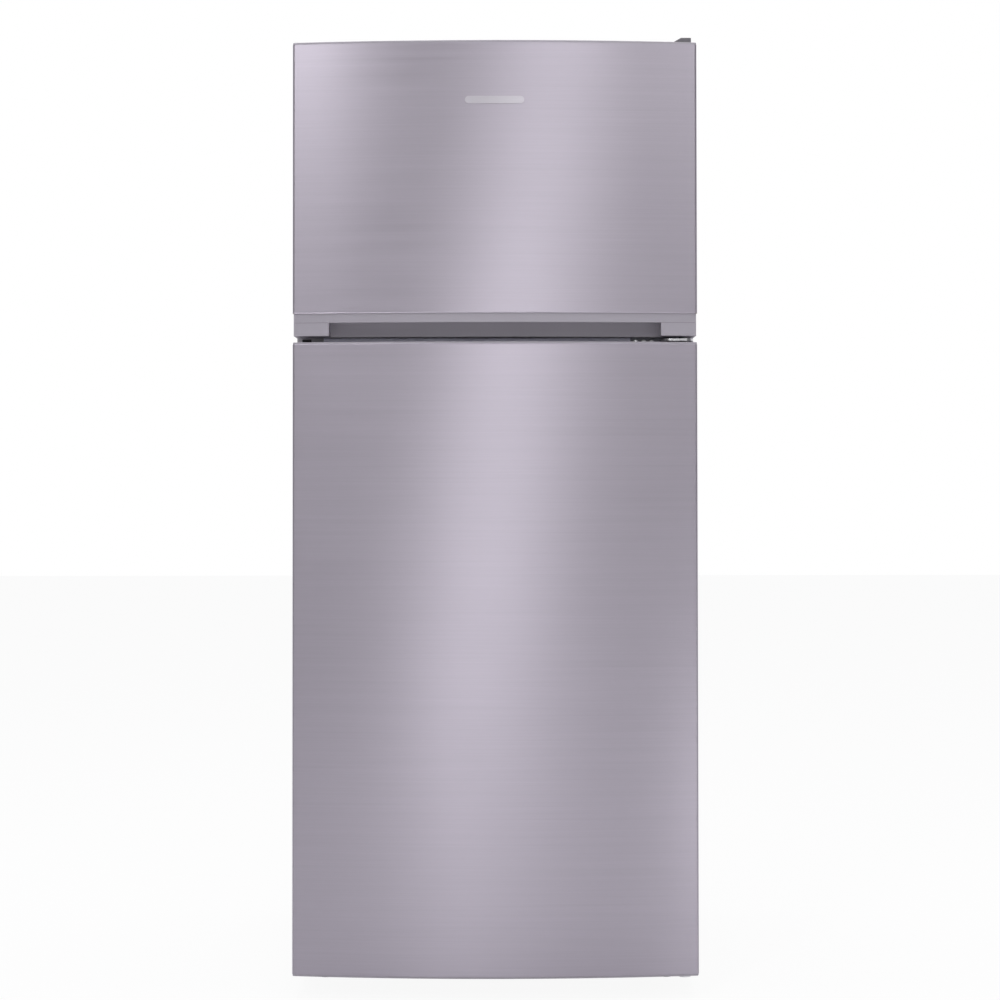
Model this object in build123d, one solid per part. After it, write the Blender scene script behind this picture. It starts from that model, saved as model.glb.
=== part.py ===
"""Top freezer refrigerator, 700 mm wide: a no-frost cabinet with two bowed doors on the right-hand hinges.

Frame: millimetres, +Z up, the doors face -Y, the hinges are on the +X side. The origin is the middle of the
floor area under the appliance.
"""
from build123d import *
import os
from math import cos, pi, sin, sqrt

# ---------------------------------------------------------------- driving dimensions
WIDTH = 700.0
CABINET_DEPTH = 600.0
FRIDGE_DOOR_H = 1091.0
FREEZER_DOOR_H = 509.0
DOOR_GAP = 11.0
FLOOR_TO_DOOR = 38.0
DOOR_EDGE_T = 58.0
DOOR_BOW = 20.0
SEAL_GAP = 12.0
CONDENSER_STANDOFF = 26.0
BADGE_T = 1.2

# sheet, liner and insulation
SHEET = 0.8
FIT = 0.2
RAIL_T = 1.5
BEAD_PITCH = 120.0
BEAD_W = 14.0
LINER_T = 2.0
BASE_T = 1.2
WALL = 54.0
TOP_WALL = 60.0
BACK_WALL = 55.0
DIVIDER = 60.0
FLOOR_WALL = 62.0
LINER_LIP = 7.0
LINER_RADIUS = 14.0
CABINET_RADIUS = 3.0
REAR_FLANGE = 15.0
CABINET_BASE_Z = 28.0
TOP_STEP = 1.0

# compressor bay
BAY_DEPTH = 190.0
BAY_TOP_Z = 240.0
BAY_INSULATION = 40.0

# door skins and caps
DOOR_RADIUS = 4.0
CAP_T = 4.0
CAP_INSET = 0.6
SKIN_RETURN = 12.0
CAP_WALL = 2.5

# grip pocket between the doors
HANDLE_H = 39.0
LIP_H = 16.4
LIP_T = 9.0
GRIP_HALF = 287.0
GRIP_DEPTH = 36.0
GRIP_ROOF = 4.0
GRIP_MOUTH = 14.0
CAP_EDGE_R = 1.2
LOWER_GRIP_H = 22.0
HANDLE_INSET = 1.8

# nameplate
BADGE_HALF = 51.0
BADGE_H = 13.0
BADGE_DROP = 103.5

# door inner liners, seals and bins
GASKET_W = 18.0
GASKET_INSET = 4.0
GASKET_PLAY = 0.3
DIKE_CLEAR = 8.0
DIKE_W = 26.0
DIKE_REACH = 40.0
DIKE_END_CLEAR = 6.0
DIKE_TOP_CLEAR = 45.0
BIN_PLAY = 4.0
BIN_WALL = 2.2
BIN_RADIUS = 6.0
BIN_H = 82.0
BOTTLE_BIN_H = 98.0
DAIRY_BIN_H = 74.0
FREEZER_BIN_H = 80.0
FRIDGE_BIN_REACH = 108.0
FREEZER_BIN_REACH = 80.0
BIN_BEAD_T = 1.2
BIN_BEAD_H = 5.0
LUG_R = 4.0
LUG_PLAY = 0.2
DIKE_CREST_R = 5.0
DIKE_CORNER_R = 16.0
SEAL_WAIST = (3.2, 6.2)
SEAL_WAIST_T = 4.0
EAR_R = 6.0

# hinges
HINGE_INSET = 22.0
HINGE_FORWARD = 40.0
PIN_R = 5.0
PIN_PLAY = 0.05
PIN_LENGTH = 15.0
BOSS_R = 10.0
BOSS_DEPTH = 20.0
HINGE_T = 4.0
TOP_HINGE_T = 3.0
HINGE_FLANGE_T = 2.5
SCREW_R = 2.0
SCREW_PLAY = 0.1
SCREW_LENGTH = 14.0
SCREW_HEAD_R = 4.5
SCREW_HEAD_H = 2.2
SCREW_SLOT_HALF = 3.0
SCREW_SLOT_D = 1.0
TOP_SCREW_IN = 22.0
MIDDLE_SCREW_IN = 80.0
BOTTOM_SCREW_IN = 62.0
BOTTOM_SCREW_PITCH = 24.0
PLUG_T = 1.2
PLUG_LENGTH = 8.0
COLLAR_T = 2.5
PIN_LEAD = 1.0
TOP_ARM_PAST = 12.0
MIDDLE_ARM = (36.0, 17.0, 15.0)
MIDDLE_ARM_R = 12.0
MIDDLE_FLANGE_HALF = 7.0
BOTTOM_ARM_HALF = 11.0
BOTTOM_FLANGE_REACH = 74.0
GUSSET_D = 16.0
SCREW_EDGE = 9.0

TOP_ARM_HALF = 12.0
TOP_SCREW_PITCH = 34.0
HINGE_SCREW_PITCH = 14.0
TURN_PLAY = 0.4

# top hinge cover
COVER_FRONT_H = 11.4
COVER_REAR_H = 16.0
COVER_SIDE_IN = 8.0
COVER_W = 36.0
COVER_SLOPE = 30.0
COVER_WALL = 1.6
COVER_LENGTH = 172.0
COVER_AHEAD = 3.0
COVER_EDGE_R = 2.0

# feet and rollers
FOOT_R = 19.0
FOOT_PAD_H = 12.0
STUD_R = 5.0
STUD_TOP = 45.0
FOOT_SIDE_IN = 45.0
FOOT_FRONT_IN = 82.0
ROLLER_R = 13.0
ROLLER_W = 20.0
ROLLER_SIDE_IN = 42.0
ROLLER_BACK_IN = 34.0
ROLLER_EDGE_R = 1.5
ROLLER_HUB = 2.5
FOOT_GROOVES = 12
FOOT_GROOVE_R = 2.0
FOOT_GROOVE_OUT = 0.6
FOOT_CHAMFER = 1.5
FOOT_TOP_R = 3.0
AXLE_R = 3.0
TRAY_T = 2.0
RUNNING_PLAY = 0.05

# cooling circuit
TUBE_R = 2.5
WIRE_R = 0.8
WIRE_PLAY = 0.02
WIRE_PITCH = 20.0
PASS_PITCH = 76.0
CONDENSER_SIDE_IN = 95.0
CONDENSER_LOW_Z = 330.0
CONDENSER_TOP_IN = 110.0
COMPRESSOR_W = 190.0
COMPRESSOR_D = 144.0
COMPRESSOR_H = 152.0
COMPRESSOR_X = -110.0
POT_TOP_R = 34.0
POT_LOW_R = 22.0
POT_SEAM = 4.0
POT_SEAM_SHARE = 0.45
FOOT_PLATE_T = 3.0
FOOT_PLATE_R = 14.0
RELAY = (34.0, 64.0, 74.0)
RELAY_UP = 30.0
RELAY_OUT = 5.0
RELAY_R = 8.0
PAN_H = 26.0
PAN_R = 16.0
PAN_LEGS = ((-20.0, -12.0), (20.0, -12.0), (0.0, 14.0))
PAN_LEG_R = 5.0
PAN_LEG_H = 3.0
GROMMET_R = 10.5
GROMMET_BORE_R = 4.0
GROMMET_H = 14.0
GROMMET_IN = (2.0, 22.0)
FOOT_PLATE_PAST = 26.0
FOOT_PLATE_SHORT = 14.0
WAIST_R = 3.0
WASHER_R = 8.0
WASHER_T = 2.0
NUT_R = 6.0
NUT_H = 4.0
GLAND_X = 190.0
GLAND_Z = 80.0
GLAND_IN = 14.0
GLAND_BODY_R = 8.0
GLAND_BODY_L = 14.0
GLAND_INNER_L = 6.0
GLAND_OUTER_L = 5.0
GLAND_BACK = 8.0
GLAND_FLANGE = 3.0
CORD_R = 4.0
WIRE_PAST = 12.0
CLIP_HALF = 5.0
CLIP_HALF_H = 7.0
CLIP_PAST = 1.4
THROAT_HALF = 1.6
LINE_SIDE_IN = 50.0
LINE_R = 14.0
STUB_IN = 12.0
STUB_SIDE = 42.0
STUB_UP = 40.0
SUCTION_RUN = 70.0
SUCTION_BEND = 20.0
SUCTION_R = 4.0
DRIER_R = 9.0
DRIER_L = 90.0
DRIER_BACK_IN = 60.0
FEED_BEND = 9.0
FEED_RUN = 20.0
FEED_IN = 30.0

# freezer compartment
EVAP_SPACE = 72.0
EVAP_COVER_T = 3.0
SHELF_T = 8.0
SHELF_NOSE_R = 3.5
SHELF_STOP = (6.0, 8.0)
SHELF_BACK_PLAY = 11.0
FAN_R = 48.0
SHAFT_R = 2.0
FAN_BLADES = 5
BLADE_T = 1.6
BLADE_W = 24.0
BLADE_PITCH_DEG = 28.0
HUB_R = 11.0
HUB_L = 14.0
MOTOR_R = 17.0
MOTOR_PLATE_R = 30.0
FIN_T = 0.8
FIN_PITCH = 24.0
COIL_R = 4.0
COIL_PITCH = 44.0
COIL_SIDE_IN = 50.0
COIL_PLAY = 8.0
COIL_EDGE = 12.0
COIL_LOW = 22.0
PANEL_RISE = 8.0
PANEL_MARGIN = 40.0
PANEL_LOW = 60.0
PANEL_TOP = 12.0
PANEL_R = 20.0
PANEL_EDGE_R = 5.0
SLOT_UP = 30.0
SLOT_PITCH = 26.0
SLOT_SIZE = (16.0, 22.0)
GRILLE_PITCH = 17.0
GRILLE_SLOT = 9.0
ICE_W = 200.0
ICE_DEPTH = 255.0
ICE_TRAY_W = 100.0
ICE_TRAY_H = 34.0
TRAY_BRIM = 9.0
CUPS = 7
CUP_TAPER = 10.0
CUP_FLOOR = 3.0
STAND_WALL = 3.0
KNOB_GRIP = (30.0, 10.0, 7.0)
TRAY_KNOB_R = 17.0
TRAY_KNOB_T = 8.0
ICE_LIP_HALF = 45.0
ICE_LIP_T = 3.0
ICE_LIP_REACH = 9.0
ICE_BIN_H = 74.0
ICE_BIN_CLEAR = 6.0
ICE_PIN_R = 6.0
ICE_PIN_L = 12.0
TRAY_R = 4.0
TRAY_END = 6.0
STAND_OVER = 12.0
ICE_SETBACK = 45.0
FAN_GAP = 14.0

# fridge compartment
SHELF_SETBACK = 17.0
GLASS_T = 4.0
TRIM_H = 13.0
TRIM_D = 16.0
RIB_H = 6.0
RIB_W = 7.0
SIDE_PLAY = 2.5
CRISPER_H = 178.0
CRISPER_WALL = 2.5
CRISPER_PLAY = 3.0
DUCT_HALF = 70.0
DUCT_D = 32.0
DUCT_WALL = 2.5
DUCT_R = 10.0
VENT = (40.0, 8.0, 6.0)
VENT_SIDE = 34.0
VENT_UP = 60.0
VENT_PITCH = 14.0
LEDGE_DROP = 30.0
SCOOP_IN = 20.0
SCOOP_H = 28.0
SCOOP_D = 8.0
FACE_T = 11.0
FACE_R = 5.0
DRAWER_R = 16.0
SCOOP_DROP = 12.0
CONTROL_H = 35.0
CONTROL_HALF = 150.0
CONTROL_SETBACK = 30.0
CONTROL_D = 180.0
CONTROL_WALL = 3.0
CONTROL_R = 14.0
KNOB_R = 15.0
KNOB_T = 12.0
KNOB_RIDGES = 18
KNOB_RIDGE_R = 1.2
LENS_T = 7.0
LENS_RIB_PITCH = 10.0
LENS_RIB_W = 3.0
LENS_R = 2.5
SPINDLE_L = 12.0
POINTER_HALF = 1.2
BUTTON_R = 4.0
KNOB_X = 60.0
BUTTON_X = -110.0
BUTTON_GAP = 0.6
LAMP_HALF = 70.0
LAMP_SETBACK = 50.0
LAMP_D = 70.0
SLIDE_TRIM_H = 24.0
SLIDE_HALF = 30.0
SLIDE_W = 28.0
SLIDE_H = 10.0
LID_T = 2.5
LID_PIN_R = 3.0
EAR_T = 4.0
LID_BACK = 10.0
LID_LIFT = 6.0
LID_NOSE = 4.0
SHELVES = 3

# ---------------------------------------------------------------- places worked out from them
X_SIDE = WIDTH / 2
DEPTH = BADGE_T + DOOR_BOW + DOOR_EDGE_T + SEAL_GAP + CABINET_DEPTH + CONDENSER_STANDOFF
Y_FRONT = -DEPTH / 2 + BADGE_T
Y_DOOR_BACK = Y_FRONT + DOOR_BOW + DOOR_EDGE_T
Y_CAB = Y_DOOR_BACK + SEAL_GAP
Y_BACK = Y_CAB + CABINET_DEPTH
Y_REAR = DEPTH / 2
BOW_R = (X_SIDE**2 + DOOR_BOW**2) / (2 * DOOR_BOW)
Y_BOW_CENTRE = Y_FRONT + BOW_R

Z_FRIDGE_TOP = FLOOR_TO_DOOR + FRIDGE_DOOR_H
Z_GAP = Z_FRIDGE_TOP + DOOR_GAP / 2
Z_FREEZER_LOW = Z_FRIDGE_TOP + DOOR_GAP
Z_DOOR_TOP = Z_FREEZER_LOW + FREEZER_DOOR_H
Z_CAB_TOP = Z_DOOR_TOP + TOP_STEP

X_OPEN = X_SIDE - WALL
FRIDGE_Z = (CABINET_BASE_Z + FLOOR_WALL, Z_GAP - DIVIDER / 2)
FREEZER_Z = (Z_GAP + DIVIDER / 2, Z_CAB_TOP - TOP_WALL)
Y_INNER_BACK = Y_BACK - BACK_WALL
BAY_Y = Y_BACK - BAY_DEPTH
STEP_Z = BAY_TOP_Z + BASE_T + BAY_INSULATION + LINER_T
STEP_Y = BAY_Y - BASE_T - BAY_INSULATION - LINER_T

X_HINGE = X_SIDE - HINGE_INSET
Y_HINGE = Y_CAB - HINGE_FORWARD
X_DIKE = X_OPEN - DIKE_CLEAR
X_BIN = X_DIKE - DIKE_W - BIN_PLAY
Y_FRIDGE_BIN = Y_CAB + FRIDGE_BIN_REACH
Y_FREEZER_BIN = Y_CAB + FREEZER_BIN_REACH
Y_SHELF = Y_FRIDGE_BIN + SHELF_SETBACK
FRIDGE_DIKE_Z = (FRIDGE_Z[0] + DIKE_END_CLEAR, FRIDGE_Z[1] - DIKE_TOP_CLEAR)
FREEZER_DIKE_Z = (FREEZER_Z[0] + DIKE_END_CLEAR, FREEZER_Z[1] - DIKE_END_CLEAR)

CRISPER_Z = (FRIDGE_Z[0] + CRISPER_PLAY, FRIDGE_Z[0] + CRISPER_PLAY + CRISPER_H)
COVER_PANE_Z = max(CRISPER_Z[1], STEP_Z) + CRISPER_PLAY + RIB_H
CONTROL_Z = (FRIDGE_Z[1] - CONTROL_H, FRIDGE_Z[1])
SHELF_PITCH = (CONTROL_Z[0] - COVER_PANE_Z) / (SHELVES + 1)
SHELF_Z = [COVER_PANE_Z + SHELF_PITCH * (n + 1) for n in range(SHELVES)]
Y_PANE_BACK = Y_INNER_BACK - DUCT_D - SIDE_PLAY
Y_LID_AXIS = Y_DOOR_BACK + LID_BACK
LID_AXIS_Z = FRIDGE_DIKE_Z[1] - DIKE_W - LID_BACK / 2 - (Y_FRIDGE_BIN - Y_LID_AXIS)
DAIRY_Z = LID_AXIS_Z - LID_LIFT - DAIRY_BIN_H
BIN_PITCH = (DAIRY_Z - FRIDGE_DIKE_Z[0] - DIKE_W) / 3
FRIDGE_BIN_Z = [FRIDGE_DIKE_Z[0] + DIKE_W + LUG_PLAY + BIN_PITCH * n for n in range(3)]
FREEZER_BIN_PITCH = (FREEZER_DIKE_Z[1] - FREEZER_DIKE_Z[0] - DIKE_W) / 2
FREEZER_BIN_Z = [FREEZER_DIKE_Z[0] + DIKE_W + LUG_PLAY + FREEZER_BIN_PITCH * n for n in range(2)]

Y_EVAP_COVER = Y_INNER_BACK - EVAP_SPACE
FREEZER_SHELF_Z = (FREEZER_Z[0] + FREEZER_Z[1]) / 2
ICE_X = -X_OPEN + RIB_W + SIDE_PLAY + ICE_W / 2
ICE_TRAY_REACH = sqrt((ICE_TRAY_W / 2) ** 2 + (ICE_TRAY_H / 2) ** 2)
ICE_AXIS_Z = FREEZER_SHELF_Z + SHELF_T + ICE_BIN_H + ICE_BIN_CLEAR + ICE_TRAY_REACH
Y_ICE = Y_FREEZER_BIN + ICE_SETBACK
FAN_Z = FREEZER_Z[1] - FAN_R - 30

Z_SHELF_TOP = FREEZER_SHELF_Z + SHELF_T
FAN_Y = Y_EVAP_COVER + EVAP_COVER_T + FAN_GAP

FREEZER_SKIN_Z = (Z_FREEZER_LOW + HANDLE_H, Z_DOOR_TOP - CAP_T)
FRIDGE_SKIN_Z = (FLOOR_TO_DOOR + CAP_T, Z_FRIDGE_TOP - CAP_T)
COLLAR_H = (DOOR_GAP - HINGE_T) / 2 - TURN_PLAY
BOTTOM_SCREW_Z = CABINET_BASE_Z + 24
TOP_PLATE_TOP = Z_CAB_TOP + TOP_HINGE_T
Y_SCREW_SEAT = Y_CAB - HINGE_FLANGE_T

FOOT_Y = Y_CAB + FOOT_FRONT_IN
GLAND_Y = Y_BACK - GLAND_IN
COMPRESSOR_Y = (BAY_Y + Y_BACK) / 2
TRAY_TOP = CABINET_BASE_Z + TRAY_T
COMPRESSOR_Z = TRAY_TOP + GROMMET_H

Y_CONTROL = Y_CAB + CONTROL_SETBACK
KNOB_Z = FRIDGE_Z[1] - CONTROL_H / 2 - 1
LAMP_Y = (Y_CONTROL + LAMP_SETBACK, Y_CONTROL + LAMP_SETBACK + LAMP_D)
SLIDE_Z = (COVER_PANE_Z + 1 - SLIDE_H, COVER_PANE_Z + 1)

CONDENSER_Y = Y_REAR - TUBE_R - WIRE_PLAY - 2 * WIRE_R
CONDENSER_HALF = X_SIDE - CONDENSER_SIDE_IN
CONDENSER_PASSES = int((Z_CAB_TOP - CONDENSER_TOP_IN - CONDENSER_LOW_Z) / PASS_PITCH) // 2 * 2 + 1
CONDENSER_TOP_Z = CONDENSER_LOW_Z + PASS_PITCH * (CONDENSER_PASSES - 1)


# ---------------------------------------------------------------- shared shapes
def block(x, y, z):
    """A box between the two limits given on each axis."""
    size = [max(pair) - min(pair) for pair in (x, y, z)]
    middle = [(pair[0] + pair[1]) / 2 for pair in (x, y, z)]
    return Pos(*middle) * Box(*size)


def rod(axis, start, length, radius):
    """A cylinder from start along one of X, Y or Z."""
    turn = {"X": Rot(0, 90, 0), "Y": Rot(-90, 0, 0), "Z": Rot(0, 0, 0)}[axis]
    body = Cylinder(radius, length, align=(Align.CENTER, Align.CENTER, Align.MIN))
    return Pos(*start) * turn * body


def pipe(points, bend, radius):
    """A round tube along straight runs joined by tangent arcs."""
    path = FilletPolyline(*points, radius=bend)
    return sweep(Plane(origin=path @ 0, z_dir=path % 0) * Circle(radius), path=path)


def bow_y(x, inset=0.0):
    """The y of the bowed door face at x, or of a face parallel to it, inset millimetres behind."""
    return Y_BOW_CENTRE - sqrt((BOW_R - inset) ** 2 - x**2)


def bowed_region(half, front, back_y):
    """The plan between a face parallel to the bow and a straight back."""
    arc = ThreePointArc((-half, bow_y(half, front)), (0, bow_y(0, front)), (half, bow_y(half, front)))
    right = Line((half, bow_y(half, front)), (half, back_y))
    back = Line((half, back_y), (-half, back_y))
    left = Line((-half, back_y), (-half, bow_y(half, front)))
    return make_face([arc, right, back, left])


def bowed_block(half, front, back_y, z):
    """The bowed plan extruded between two heights."""
    return Pos(0, 0, z[0]) * extrude(bowed_region(half, front, back_y), z[1] - z[0])


def bowed_band(half, front, back, z):
    """A slab between two faces parallel to the bow."""
    outer = bowed_block(half, front, Y_DOOR_BACK, z)
    return outer - bowed_block(half + 1, back, Y_DOOR_BACK + 1, z)


def door_body(inset, z):
    """The full door plan, with rounded front corners, inset on every face."""
    body = bowed_block(X_SIDE - inset, inset, Y_DOOR_BACK - inset, z)
    corners = body.edges().filter_by(Axis.Z).group_by(Axis.Y)[0]
    return fillet(corners, max(DOOR_RADIUS - inset, 1.0))


def open_box(x, y, z, wall, radius):
    """A tub, open at the top, with rounded upright corners and a softened bottom edge."""
    outer = block(x, y, z)
    outer = fillet(outer.edges().filter_by(Axis.Z), radius)
    outer = fillet(outer.faces().sort_by(Axis.Z)[0].edges(), wall)
    inner = block((x[0] + wall, x[1] - wall), (y[0] + wall, y[1] - wall), (z[0] + wall, z[1] + 1))
    inner = fillet(inner.edges().filter_by(Axis.Z), radius - wall)
    return outer - inner


def mirrored(shape):
    """The same piece on the other side."""
    return mirror(shape, Plane.YZ)


# ---------------------------------------------------------------- screws and their holes
def top_screw_places():
    """The three screws of the top hinge plate, in a row back from the cabinet's front."""
    return [(X_HINGE, Y_CAB + TOP_SCREW_IN + TOP_SCREW_PITCH * n) for n in range(3)]


def middle_screw_places():
    """The three screws of the middle hinge's flange."""
    return [X_HINGE - MIDDLE_SCREW_IN + HINGE_SCREW_PITCH * n for n in range(3)]


def bottom_screw_places():
    """The screws of the bottom hinge's flange."""
    return [X_HINGE - BOTTOM_SCREW_IN + BOTTOM_SCREW_PITCH * n for n in range(3)]


def screw_shanks(radius, length):
    """The shank of every hinge screw, as one shape."""
    top = [rod("Z", (x, y, TOP_PLATE_TOP - length), length, radius) for x, y in top_screw_places()]
    middle = [rod("Y", (x, Y_SCREW_SEAT, Z_GAP), length, radius) for x in middle_screw_places()]
    low = [rod("Y", (x, Y_SCREW_SEAT, BOTTOM_SCREW_Z), length, radius) for x in bottom_screw_places()]
    return top + middle + low


def screw_holes():
    """What every hinge screw clears: used on the plates, the sheet and the insulation."""
    return screw_shanks(SCREW_R + SCREW_PLAY, SCREW_LENGTH + 1)


def with_holes(shape):
    """Cuts the screw holes on the hinge side and the spare ones on the other side."""
    for hole in screw_holes():
        shape = shape - hole - mirrored(hole)
    return shape


def cabinet_screws():
    """Pan-head screws that hold the three hinges."""
    screws = []
    for n, shank in enumerate(screw_shanks(SCREW_R, SCREW_LENGTH)):
        if n < 3:
            x, y = top_screw_places()[n]
            head = rod("Z", (x, y, TOP_PLATE_TOP), SCREW_HEAD_H, SCREW_HEAD_R)
            rim = head.edges().group_by(Axis.Z)[-1]
            top = TOP_PLATE_TOP + SCREW_HEAD_H
            slot_x = (x - SCREW_SLOT_HALF, x + SCREW_SLOT_HALF)
            slot = block(slot_x, (y - 0.5, y + 0.5), (top - SCREW_SLOT_D, top + 1))
        else:
            x = (middle_screw_places() + bottom_screw_places())[n - 3]
            z = Z_GAP if n < 6 else BOTTOM_SCREW_Z
            head = rod("Y", (x, Y_SCREW_SEAT - SCREW_HEAD_H, z), SCREW_HEAD_H, SCREW_HEAD_R)
            rim = head.edges().group_by(Axis.Y)[0]
            front = Y_SCREW_SEAT - SCREW_HEAD_H
            slot_x = (x - SCREW_SLOT_HALF, x + SCREW_SLOT_HALF)
            slot = block(slot_x, (front - 1, front + SCREW_SLOT_D), (z - 0.5, z + 0.5))
        screws.append(fillet(rim, 1.0) + shank - slot)
    return screws


def hinge_hole_plugs():
    """Snap-in plugs in the spare hinge holes, for the doors hung the other way round."""
    plugs = []
    for x, y in top_screw_places():
        cap = rod("Z", (-x, y, Z_CAB_TOP), PLUG_T, SCREW_HEAD_R)
        plugs.append(cap + rod("Z", (-x, y, Z_CAB_TOP - PLUG_LENGTH), PLUG_LENGTH, SCREW_R))
    rows = [(x, Z_GAP) for x in middle_screw_places()] + [(x, BOTTOM_SCREW_Z) for x in bottom_screw_places()]
    for x, z in rows:
        cap = rod("Y", (-x, Y_CAB - PLUG_T, z), PLUG_T, SCREW_HEAD_R)
        plugs.append(cap + rod("Y", (-x, Y_CAB, z), PLUG_LENGTH, SCREW_R))
    return plugs


# ---------------------------------------------------------------- cabinet
def cabinet_wrap():
    """One folded sheet: both sides and the top, with a front flange for the seals and a rear flange."""
    outer = block((-X_SIDE, X_SIDE), (Y_CAB, Y_BACK), (CABINET_BASE_Z, Z_CAB_TOP))
    upright = outer.edges().filter_by(Axis.Z).group_by(Axis.Y)[0]
    outer = fillet(upright, CABINET_RADIUS)
    inner = block(
        (-X_SIDE + SHEET, X_SIDE - SHEET),
        (Y_CAB + SHEET, Y_BACK - SHEET),
        (CABINET_BASE_Z - 1, Z_CAB_TOP - SHEET),
    )
    window_top = FREEZER_Z[1] + LINER_LIP
    front = block((-X_OPEN - LINER_LIP, X_OPEN + LINER_LIP), (Y_CAB - 1, Y_CAB + 5), (0, window_top))
    rear_x = X_SIDE - REAR_FLANGE
    rear = block((-rear_x, rear_x), (Y_BACK - 5, Y_BACK + 1), (0, Z_CAB_TOP - REAR_FLANGE))
    return with_holes(outer - inner - front - rear)


def rear_panel():
    """Flat sheet closing the back above the compressor bay, stiffened by pressed beads."""
    x = X_SIDE - SHEET - FIT
    z = (BAY_TOP_Z + BASE_T + FIT, Z_CAB_TOP - SHEET - FIT)
    panel = block((-x, x), (Y_BACK - 2 * SHEET, Y_BACK - SHEET), z)
    for n in range(-2, 3):
        length = z[1] - z[0] - BEAD_PITCH
        bead = Pos(n * BEAD_PITCH, Y_BACK - SHEET, (z[0] + z[1]) / 2) * Box(BEAD_W, 2 * SHEET, length)
        panel = panel + chamfer(bead.faces().sort_by(Axis.Y)[-1].edges(), 0.6)
    return panel


def cavity(z, out, step):
    """The inside of a compartment grown by out on every wall, and open at the front."""
    low, high = z[0] - out, z[1] + out
    front, back = Y_CAB - 1, Y_INNER_BACK + out
    if step:
        y, s = STEP_Y + out, STEP_Z - out
        corners = [(front, low), (y, low), (y, s), (back, s), (back, high), (front, high)]
    else:
        corners = [(front, low), (back, low), (back, high), (front, high)]
    face = Plane.YZ * make_face(Polyline(*corners, close=True))
    half = X_OPEN + out
    body = Pos(-half, 0, 0) * extrude(face, 2 * half)
    inside = [e for e in body.edges() if e.center().Y > Y_CAB]
    return fillet(inside, LINER_RADIUS + out)


def liner(z, step):
    """A vacuum-formed tub with a narrow flange round its mouth."""
    shell = cavity(z, LINER_T, step) - cavity(z, 0, step)
    half = X_OPEN + LINER_LIP
    mouth = block((-half, half), (Y_CAB, Y_CAB + LINER_T), (z[0] - LINER_LIP, z[1] + LINER_LIP))
    keep = block((-X_SIDE, X_SIDE), (Y_CAB, Y_BACK), (0, Z_CAB_TOP))
    return (shell & keep) + (mouth - cavity(z, 0, step))


def side_ribs(z_top, y):
    """The pair of moulded ledges that a shelf rests on."""
    left = block((-X_OPEN - 0.5, -X_OPEN + RIB_W), y, (z_top - RIB_H, z_top))
    left = chamfer(left.faces().sort_by(Axis.X)[-1].edges().filter_by(Axis.Y), 1.5)
    return left + mirrored(left)


def freezer_liner():
    """The frozen food compartment, with ledges for its shelf."""
    ribs = side_ribs(FREEZER_SHELF_Z, (Y_ICE, Y_EVAP_COVER - 6)) & cavity(FREEZER_Z, LINER_T, False)
    return with_holes(liner(FREEZER_Z, False) + ribs)


def fridge_liner():
    """The fresh food compartment, stepped over the compressor bay, with ledges for the shelves."""
    shape = liner(FRIDGE_Z, True)
    inside = cavity(FRIDGE_Z, LINER_T, True)
    for z in [COVER_PANE_Z] + SHELF_Z:
        shape = shape + (side_ribs(z, (Y_SHELF + TRIM_D / 2, Y_PANE_BACK - 4)) & inside)
    return shape


def crossbar():
    """The painted steel rail between the two openings, which both doors seal against."""
    z = (FRIDGE_Z[1] + LINER_LIP, FREEZER_Z[0] - LINER_LIP)
    half = X_OPEN + LINER_LIP
    front = block((-half, half), (Y_CAB, Y_CAB + RAIL_T), z)
    return with_holes(front)


def base_pan():
    """The stepped floor sheet: front rail, floor, bay wall and bay ceiling."""
    half = X_SIDE - SHEET - FIT
    lip_half = X_OPEN + LINER_LIP - FIT
    rail = block((-lip_half, lip_half), (Y_CAB, Y_CAB + BASE_T), (CABINET_BASE_Z, FRIDGE_Z[0] - LINER_LIP))
    floor = block((-half, half), (Y_CAB + BASE_T, BAY_Y), (CABINET_BASE_Z, CABINET_BASE_Z + BASE_T))
    wall = block((-half, half), (BAY_Y - BASE_T, BAY_Y), (CABINET_BASE_Z, BAY_TOP_Z + BASE_T))
    roof = block((-half, half), (BAY_Y - BASE_T, Y_BACK - SHEET - FIT), (BAY_TOP_Z, BAY_TOP_Z + BASE_T))
    pan = rail + floor + wall + roof
    for x in foot_places():
        pan = pan - rod("Z", (x, FOOT_Y, 0), STUD_TOP, STUD_R + RUNNING_PLAY)
    return with_holes(pan)


def insulation_foam():
    """The foamed-in-place insulation between the wrap, the back and the two liners."""
    half = X_SIDE - SHEET
    y = (Y_CAB + LINER_T, Y_BACK - 2 * SHEET)
    foam = block((-half, half), y, (CABINET_BASE_Z + BASE_T, Z_CAB_TOP - SHEET))
    foam = foam - cavity(FREEZER_Z, LINER_T, False) - cavity(FRIDGE_Z, LINER_T, True)
    bay = block((-X_SIDE, X_SIDE), (BAY_Y - BASE_T, Y_BACK), (0, BAY_TOP_Z + BASE_T))
    foam = foam - bay
    for x in foot_places():
        foam = foam - rod("Z", (x, FOOT_Y, 0), STUD_TOP + 4, STUD_R + 2)
    return with_holes(foam)


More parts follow.
